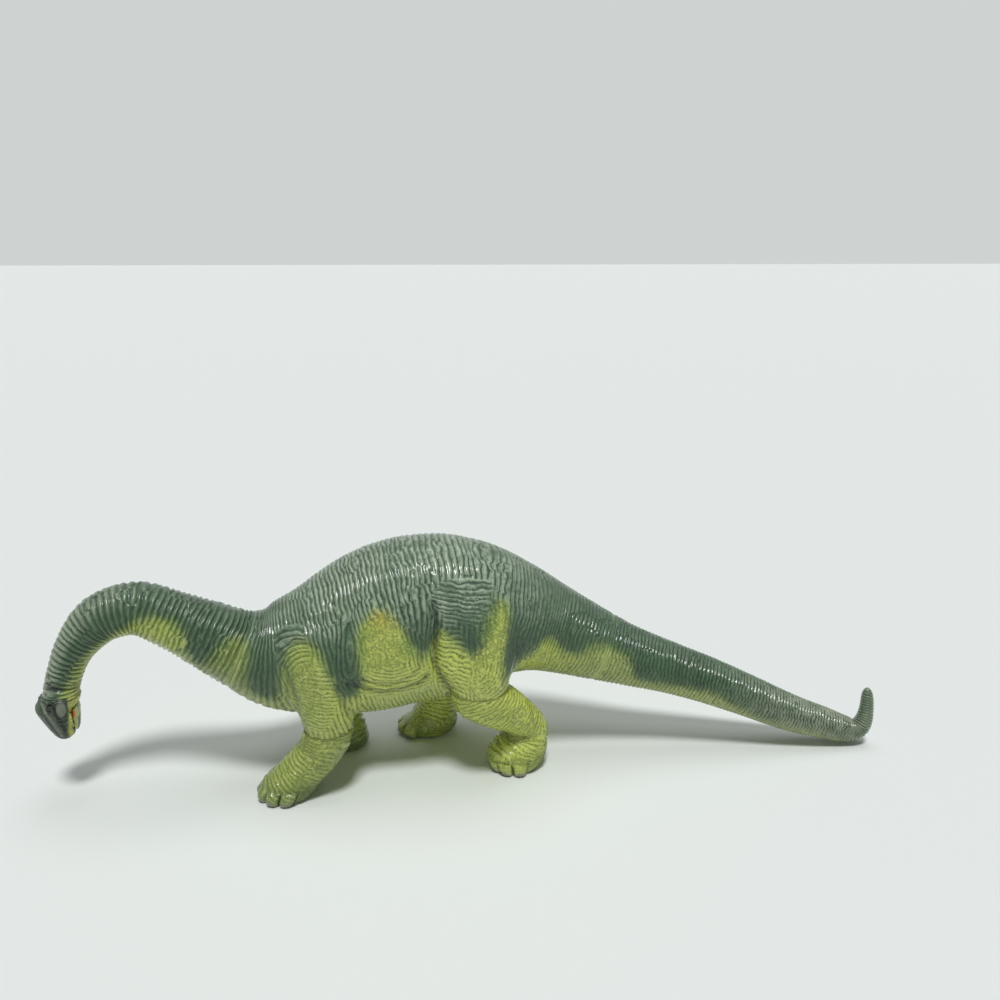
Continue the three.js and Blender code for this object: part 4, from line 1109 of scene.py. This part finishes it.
head = {
    "length": 26, "depth": 21.4, "width": 21, "seamRadius": 9.2, "fitGap": 0.3, "spacing": 0.15, "places": 256,
    # share of the length below the seam, forwards as a share of the depth, half depth, half width
    "rows": [(0, 0), (0.16, 0.08, 0.485, 0.48), (0.3, 0.15, 0.455, 0.5), (0.495, 0.115, 0.386, 0.457),
             (0.69, 0.07, 0.31, 0.39), (0.866, 0.02, 0.236, 0.324), (1, -0.01, 0.127, 0.2)],
    "tipRound": 1.6, "tipShare": 0.55,                   # the snout is rounded off
    "padAt": (-218.9, 53.6), "padHalf": (2.3, 4.8), "padTurn": 4,        # the smooth oval of the cheek
    "nostrilAt": (-222.5, 2.3, 37.6),
    "jawSetBack": 1.5, "jawThickness": 2.2, "mouthTop": 0.36, "mouthDepth": 2.5,
    "lipDepth": 1.35,        # the upper lip stands this far over the palate, towards the lower jaw
    # share of the length below the seam, half width as a share of the width, how much thinner on the outer side
    "jawRows": [(0.3, 0.27, 0.5), (0.42, 0.28, 0.2), (0.6, 0.25, 0.5), (0.74, 0.2, 0.8), (0.83, 0.12, 1.0)],
    "tongueRows": [(0.4, 0.085), (0.46, 0.11), (0.58, 0.105), (0.66, 0.065)], "tongueThickness": 1.3,
    "mouthHalfWidth": 6.09, "mouthLength": 10.4,
    "teeth": 13, "toothLength": 0.95, "toothRadius": 0.42, "toothSteps": 8, "toothPlaces": 16, "gumSteps": 81,
    "eyeDown": 0.19, "eyeForward": 0.15, "eyeRadius": 2.3, "eyeStandOut": 0.2,
}
headSeam = jointPlaces["head_swivel"]
jawBack = headSeam[0] + head["seamRadius"] - head["jawSetBack"]          # the throat side of the lower jaw
jawFace = jawBack - head["jawThickness"]                                 # its side towards the mouth
eyeX = headSeam[0] - head["eyeForward"] * head["depth"]
# height and half width of what is raised or sunk, and where it stands if that isn't zero
headRelief = {
    "sides": (2.0, 4.2), "strokes": 1.25, "bump": (0.28, 0.62),
    "pad": 0.42, "padEdge": (1.05, 0.8), "padFurrow": (0.4, 0.13, 1.18),
    "eyeRim": (0.35, 0.5, 2.75), "eyeHollow": 0.6, "eyeEdge": (2.6, 1.9), "nostril": (0.55, 0.7),
    "wrinkle": (0.3, 0.12), "wrinkleSize": 2.1, "offPad": (0.9, 1.5),
    "seamRing": (1, 0.42), "seamRingDown": 1.7, "seamLip": (0.45, 0.4), "seamLipDown": 0.75,
    "topEdge": (0, 0.4), "tipEdge": (0.2, 1.6),
}
lightEdge = {"x": -215.4, "lean": 2.3, "top": 59, "drop": 21}
redPatch = {"x": -214.0, "lean": 0.06, "middle": 49, "low": (45.4, 47.4), "high": (52.6, 51.2),
            "reach": (0.7, 0.4), "aside": (2.5, 3.2)}

# Raised and sunk lines on each side of the head: points of x and z, half width and height
headStrokes = [
    {"points": [(-229.6, 57.4), (-228.3, 56.2), (-225.6, 52.2), (-223.6, 46), (-222, 40), (-221, 36.4)],
     "half": 0.95, "height": 0.5},                                                     # brow to snout
    {"points": [(-222.6, 57.6), (-221.9, 54.6), (-221.7, 51), (-220.9, 47), (-220, 43), (-219.3, 40)],
     "half": 0.85, "height": -1.0},                                                    # furrow behind it
    {"points": [(-226.2, 55.9), (-224.9, 56.9), (-222.9, 56.6)], "half": 0.55, "height": 0.45},   # over the eye
    {"points": [(-225.6, 51.6), (-223.9, 51.2), (-222.4, 51.9)], "half": 0.5, "height": 0.3},     # under the eye
    {"points": [(-216.1, 49.5), (-217, 44), (-217.6, 38)], "half": 0.45, "height": 0.25},         # lip
    {"points": [(-219.6, 46.1), (-218.4, 45.2), (-217.4, 45.9)], "half": 0.45, "height": -0.4},
    {"points": [(-226.2, 47.5), (-225.4, 44.2), (-224.4, 41)], "half": 0.5, "height": -0.28},
]
headBumps = [(-221.4, 57.6), (-220.3, 58), (-220.1, 42), (-218.6, 40.8), (-220, 44.8), (-219.1, 38.6),
             (-221.2, 39.7), (-218.3, 43), (-222.6, 43.3), (-226.9, 52.5), (-228.4, 53.9), (-227.6, 56.6)]


def headHeight(share):
    return headSeam[2] - share * head["length"]


def headTable():                      # rows of z, x, half depth and half width
    return curveTable([(headHeight(below), headSeam[0] - forward * head["depth"],
                        *girthOf(girth, (head["depth"], head["width"]), head["seamRadius"]))
                       for below, forward, *girth in head["rows"]], 300)[::-1]


def levelGrid(table, top, bottom, spacing, places, power=1.0):
    levels = np.linspace(top, bottom, int(round((top - bottom) / spacing)) + 1)
    x, halfDepth, halfWidth = readOff(table, levels, 0, (1, 2, 3))
    return levelRings(x, np.zeros(len(levels)), levels, halfDepth, halfWidth, places, power)


def padShare(points):
    turn, (atX, atZ), (halfAcross, halfAlong) = math.radians(head["padTurn"]), head["padAt"], head["padHalf"]
    x, z = points[..., 0] - atX, points[..., 2] - atZ
    along, across = z * math.cos(turn) + x * math.sin(turn), x * math.cos(turn) - z * math.sin(turn)
    return np.hypot(across / halfAcross, along / halfAlong)


def lightOfHead(points):              # millimetres into the light paint of the jaws
    edge = lightEdge
    return points[..., 0] - (edge["x"] - edge["lean"] * (edge["top"] - points[..., 2]) / edge["drop"])


def redOfMouth(points):
    patch, z = redPatch, points[..., 2]
    away = np.abs(points[..., 0] - patch["lean"] * (z - patch["middle"]) - patch["x"])
    high = smoothStep(*patch["low"], z) * smoothStep(*patch["high"], z)
    return high * smoothStep(*patch["reach"], away) * smoothStep(*patch["aside"], np.abs(points[..., 1]))


def swelling(value, height, half, place=0.0):
    return height * bell(value - place, half)


def makeHead():
    gap, end, size = head["fitGap"], headHeight(1), headRelief
    centre, spokes = levelGrid(headTable(), headSeam[2] - gap, end, head["spacing"], head["places"])
    tip = quarterRound(np.clip(((centre + spokes)[..., 2] - end) / head["tipRound"], 0, 1))
    smooth = centre + spokes * (1 - head["tipShare"] * (1 - tip))[..., None]
    x, aside, z = smooth[..., 0], np.abs(smooth[..., 1]), smooth[..., 2]
    side = smoothStep(*size["sides"], aside)
    rise = np.zeros(z.shape)
    for stroke in headStrokes:
        rise += size["strokes"] * stroke["height"] * strokeShare(smooth, stroke) * side
    for bumpX, bumpZ in headBumps:
        rise += swelling(np.hypot(x - bumpX, z - bumpZ), *size["bump"]) * side
    pad = padShare(smooth)
    rise += (size["pad"] * smoothStep(*size["padEdge"], pad) - swelling(pad, *size["padFurrow"])) * side
    eye = np.hypot(x - eyeX, z - headHeight(head["eyeDown"]))
    rise += (swelling(eye, *size["eyeRim"]) - size["eyeHollow"] * smoothStep(*size["eyeEdge"], eye)) * side
    nostrilX, nostrilY, nostrilZ = head["nostrilAt"]
    rise -= swelling(np.hypot(aside - nostrilY, z - nostrilZ) + np.clip(x - nostrilX, 0, None), *size["nostril"])
    wrinkle = np.abs(noise(smooth * np.array([1, 1, 0.6]), size["wrinkleSize"], 201))
    rise -= swelling(wrinkle, *size["wrinkle"]) * smoothStep(*size["offPad"], pad) * 0.8
    rise -= 0.5 * (swelling(z, *size["seamRing"], headSeam[2] - size["seamRingDown"])
                   - swelling(z, *size["seamLip"], headSeam[2] - size["seamLipDown"]))
    rise *= smoothStep(*size["topEdge"], headSeam[2] - gap - z + 0.1) * smoothStep(*size["tipEdge"], z - end)
    # height: raised and sunk parts, which the material lightens as painted highlight and darkens as painted shade
    piece = gridMesh("head_skin", raised(smooth, rise), {
        "height": np.clip(0.55 + rise * 0.9, 0, 1), "paint": lightOfHead(smooth), "red": redOfMouth(smooth),
        "pad": smoothStep(1.1, 0.85, pad) * side * 0.9 + bell(pad - 0.9, 0.1) * side * 0.1,
    })
    palate = jawFace - head["mouthDepth"]
    lip, top = palate + head["lipDepth"], headHeight(head["mouthTop"])
    cutAway(piece, boxSolid("mouth", (lip, -30, end - 2), (lip + 20, 30, top)))
    cutAway(piece, archSolid("palate", (palate, lip + 1), head["mouthHalfWidth"] - 1.9,
                             head["mouthLength"] - 1.6, top - 1.5))
    cutAway(piece, jawSolid("jawSocket", gap, 0.5, 96))
    for turn in (1, -1):
        cutAway(piece, eyeBall("eyeSocket", turn, gap, 32))
    return piece


def archSolid(name, ends, halfWidth, length, top):      # half an ellipse that hangs from its top, as a block
    turns = np.linspace(-math.pi / 2, math.pi / 2, 33)
    arch = [(halfWidth * math.sin(turn), top - length * math.cos(turn)) for turn in turns]
    return gridMesh(name, np.array([[(x, y, z) for y, z in arch] for x in ends]))


def boxSolid(name, low, high):
    corners = [(x, y, z) for z in (high[2], low[2]) for x, y in ((low[0], low[1]), (high[0], low[1]),
                                                                  (high[0], high[1]), (low[0], high[1]))]
    return gridMesh(name, np.array(corners, float).reshape(2, 4, 3))


def blockOf(rows, steps, spacing, places, power, ends):   # a flat upright block, and how far it is from its ends
    table = curveTable(rows, steps)[::-1]
    low, high = table[0, 0], table[-1, 0]
    centre, spokes = levelGrid(table, high, low, spacing, places, power)
    z = (centre + spokes)[..., 2]
    return centre, spokes, np.minimum(np.clip((z - low) / ends[0], 0, 1), np.clip((high - z) / ends[1], 0, 1))


def jawSolid(name, growth, spacing, places, detail=False):
    thick = head["jawThickness"]
    x = jawBack - thick / 2
    rows = []
    for k, (below, half, taper) in enumerate(head["jawRows"]):
        thin = taper if detail else 0
        rows.append((headHeight(below) + (growth if k == 0 else 0), x - thin / 2, (thick - thin) / 2 + growth,
                     half * head["width"] + growth))
    centre, spokes, ends = blockOf(rows, 120, spacing, places, 0.8, (1.5, 0.8))
    if not detail:
        return gridMesh(name, centre + spokes)
    points = centre + spokes * (0.45 + 0.55 * quarterRound(ends))[..., None]
    aside, z = np.abs(points[..., 1]), points[..., 2]
    rise = 0.1 * noise(points, 1.7, 211) - 0.12 * bell(noise(points, 2.4, 212), 0.1)
    outer = centre[..., 0] + np.abs(spokes[..., 0]).max(axis=1, keepdims=True)
    rise -= 0.2 * smoothStep(1.2, 0.2, aside) * smoothStep(x, x + 0.6, points[..., 0])
    rise *= np.minimum(ends * 1.5, 1)
    rim = smoothStep(0.6, 0.2, np.abs(spokes[..., 1]).max(axis=1, keepdims=True) - aside)
    light = np.where(z > 45, 2, np.maximum(aside - 2.4, (outer - 0.3 - points[..., 0]) * 4))
    # height: raised and sunk parts, for painted highlight and painted shade
    return gridMesh(name, raised(points, rise), {
        "height": np.clip(0.6 + rise * 2.2, 0, 1), "pad": np.zeros(z.shape), "red": redOfMouth(points) * rim,
        "paint": light + 0.8 * noise(points, 2.5, 213),
    })


def eyeBall(name, side, growth, steps):
    radius = head["eyeRadius"] + growth
    middle = np.array([eyeX, side * (head["width"] / 2 - head["eyeRadius"] + head["eyeStandOut"]),
                       headHeight(head["eyeDown"])])
    polar = np.linspace(0.02, math.pi - 0.02, steps)[:, None]
    angle = np.arange(steps * 2)[None] * math.pi / steps
    reach = np.sin(polar)
    points = middle + radius * np.stack([reach * np.cos(angle), side * np.cos(polar) + 0 * angle,
                                         reach * np.sin(angle)], axis=-1)
    off = np.repeat(polar / math.pi, steps * 2, axis=1)
    return gridMesh(name, points, {"iris": smoothStep(0.17, 0.2, off) * smoothStep(0.34, 0.3, off)})


def makeTongue():
    thick = head["tongueThickness"]
    x = jawFace - head["fitGap"]
    rows = [(headHeight(below), x - thick / 2, thick / 2, half * head["width"]) for below, half in head["tongueRows"]]
    centre, spokes, ends = blockOf(rows, 60, 0.12, 64, 0.85, (1.1, 0.7))
    points = centre + spokes * (0.3 + 0.7 * quarterRound(ends))[..., None]
    groove = 0.3 * bell(points[..., 1], 0.45) * smoothStep(0, -0.4, spokes[..., 0])
    points[..., 0] += groove + 0.05 * noise(points, 0.9, 221)
    return gridMesh("tongue_red", points)


def makeTeeth(name, base, direction, inset, gum, place, below):   # a gum along a half ellipse, with teeth on it
    top = headHeight(head["mouthTop"]) - below
    thick, wide = gum
    angle = ringAngles(head["toothPlaces"])

    def along(share, offset):
        turn = (share - 0.5) * math.pi
        return np.array([(head["mouthHalfWidth"] - inset - offset) * math.sin(turn),
                         top - (head["mouthLength"] - inset - offset) * math.cos(turn)])

    rings = []
    for share in np.linspace(0, 1, head["gumSteps"]):
        swell = 1 + 0.12 * math.cos(2 * math.pi * share * (head["teeth"] + 1))
        ring = []
        for turn in angle:
            across, up = (math.copysign(abs(part) ** 0.6, part) for part in (math.cos(turn), math.sin(turn)))
            y, z = along(share, wide / 2 - across * wide / 2)
            ring.append((base + direction * thick * (0.5 + 0.5 * up * (swell if up > 0 else 1)), y, z))
        rings.append(ring)
    flat = np.zeros((len(rings), len(angle)))
    parts = [gridMesh(name, np.array(rings), {"paint": flat + 3, "height": flat + 0.6, "red": flat, "pad": flat})]
    for number in range(1, head["teeth"] + 1):
        y, z = along(number / (head["teeth"] + 1), place)
        length = head["toothLength"] * (0.85 + 0.3 * cellValue(number, 3, 5, 231))
        rings = []
        for step in np.linspace(0, 1, head["toothSteps"] + 1)[:-1]:
            radius = head["toothRadius"] * math.sqrt(1 - step ** 2.2)
            x = base + direction * (thick + 0.12 - length + step * length)
            rings.append([(x, y + radius * math.cos(turn), z + radius * math.sin(turn)) for turn in angle])
        parts.append(gridMesh("tooth", np.array(rings)))
    return parts


def joinedInto(parts, materialIndexes):
    counts = [len(part.data.polygons) for part in parts]
    with bpy.context.temp_override(active_object=parts[0], object=parts[0], selected_objects=parts,
                                   selected_editable_objects=parts):
        bpy.ops.object.join()
    parts[0].data.polygons.foreach_set("material_index", np.repeat(materialIndexes, counts))
    return parts[0]


headSkin, mouthRed, toothIvory = headLook("headPaint", 1), plainLook("mouthRed"), plainLook("toothIvory")
eyeGloss = eyeLook()
dress(makeHead(), "head_shell", "head", headSkin)
dress(jawSolid("jaw_skin", 0, 0.12, 144, True), "lower_jaw", "head", headSkin)
dress(makeTongue(), "tongue", "head", mouthRed)
for name, base, direction, inset, gum, place, below, gumLook in (      # the upper strip is also the upper lip
        ("upper_teeth", jawFace - 2.45, 1, 0.0, (2.15, 1.5), 0.06, 0.5, headSkin),
        ("lower_teeth", jawFace - head["fitGap"], -1, 2.2, (0.5, 0.8), 0.4, 1.8, mouthRed)):
    parts = makeTeeth(name + "_row", base, direction, inset, gum, place, below)
    row = joinedInto(parts, [0] + [1] * (len(parts) - 1))
    row.data.materials.append(gumLook)
    dress(row, name, "head", toothIvory)
for sideName, side in (("left", -1), ("right", 1)):
    dress(eyeBall(sideName + "_eye_ball", side, 0, 40), sideName + "_eye", "head", eyeGloss)
print("head made")


# Stuffing: a lump of fibre inside the body, clear of its wall

stuffing = {"gap": 3.7, "spacing": 1.6, "places": 96, "endGap": 18, "endRound": 9, "endLeast": 0.06,
            "tuft": 0.55, "lumps": [(5, 301, 0.7), (2.2, 302, 0.3)]}     # size, seed and share of each noise


def makeStuffing():
    size = stuffing
    grid = sweptGrid(neckSeam, tailSeam, size["spacing"], size["places"], size["endGap"], size["endGap"])
    length = lengths(grid["rays"])[..., None]
    ends = np.minimum(grid["arc"] - grid["arc"][0, 0], grid["arc"][-1, 0] - grid["arc"])
    part = np.clip(ends / size["endRound"], 0, 1)
    rounded = np.sqrt(np.clip(1 - (1 - part) ** 2, size["endLeast"], 1))[..., None]
    smooth = grid["centre"] + grid["rays"] * (1 - (size["gap"] + size["tuft"]) / length) * rounded
    lumps = sum(noise(smooth, across, seed) * share for across, seed, share in size["lumps"])
    return gridMesh("stuffing_lump", raised(smooth, lumps * size["tuft"]))


dress(makeStuffing(), "torso_stuffing", "torso", plainLook("stuffingFibre"))
print("stuffing made")


# Room

room = {
    "floor": (0.845, 0.885, 0.875), "half": 30000, "roughness": 0.6,
    "back": (0.62, 0.65, 0.64),       # what the camera sees beyond the floor
    "around": (0.96, 0.985, 1.0), "aroundStrength": 0.12,
}


def makeRoom():
    half = room["half"] / 1000
    mesh = bpy.data.meshes.new("floor")
    mesh.from_pydata([(-half, -half, 0), (half, -half, 0), (half, half, 0), (-half, half, 0)], [], [(0, 1, 2, 3)])
    floor = placed("floor", mesh)
    look = Look("floorPaint")
    mesh.materials.append(look.finish({"Base Color": (*room["floor"], 1), "Roughness": room["roughness"]}))
    world = bpy.data.worlds.new("world")
    bpy.context.scene.world = world
    world.use_nodes = True
    sky = Look.over(world.node_tree)
    seen = sky.rays("Is Camera Ray") + sky.rays("Is Glossy Ray") + sky.rays("Is Transmission Ray")
    seen = sky.between(0.0, 0.5, seen)
    around = sky.node("ShaderNodeBackground", {}, {"Color": (*room["around"], 1), "Strength": room["aroundStrength"]})
    back = sky.node("ShaderNodeBackground", {}, {"Color": (*room["back"], 1), "Strength": 1.0})
    blend = sky.node("ShaderNodeMixShader", {}, {0: seen, 1: around, 2: back})
    sky.node("ShaderNodeOutputWorld", {}, {"Surface": blend})


lamps = [
    {"name": "frontSoft", "from": (-0.05, -0.38, 1), "angle": 12, "strength": 1.9, "colour": (1, 1, 0.985)},
    {"name": "overheadWide", "from": (0.05, 0.2, 1), "angle": 40, "strength": 0.7, "colour": (1, 1, 1)},
]


def makeLamps():                      # soft suns: the same light all over the floor
    for lamp in lamps:
        data = bpy.data.lights.new(lamp["name"], "SUN")
        data.angle = math.radians(lamp["angle"])
        data.energy = lamp["strength"]
        data.color = lamp["colour"]
        light = placed(lamp["name"], data)
        light.location = Vector(lamp["from"])
        light.rotation_euler = facing(-Vector(lamp["from"]))


makeRoom()
makeLamps()
bpy.context.scene.view_settings.view_transform = "Standard"
print("room and lamps set")
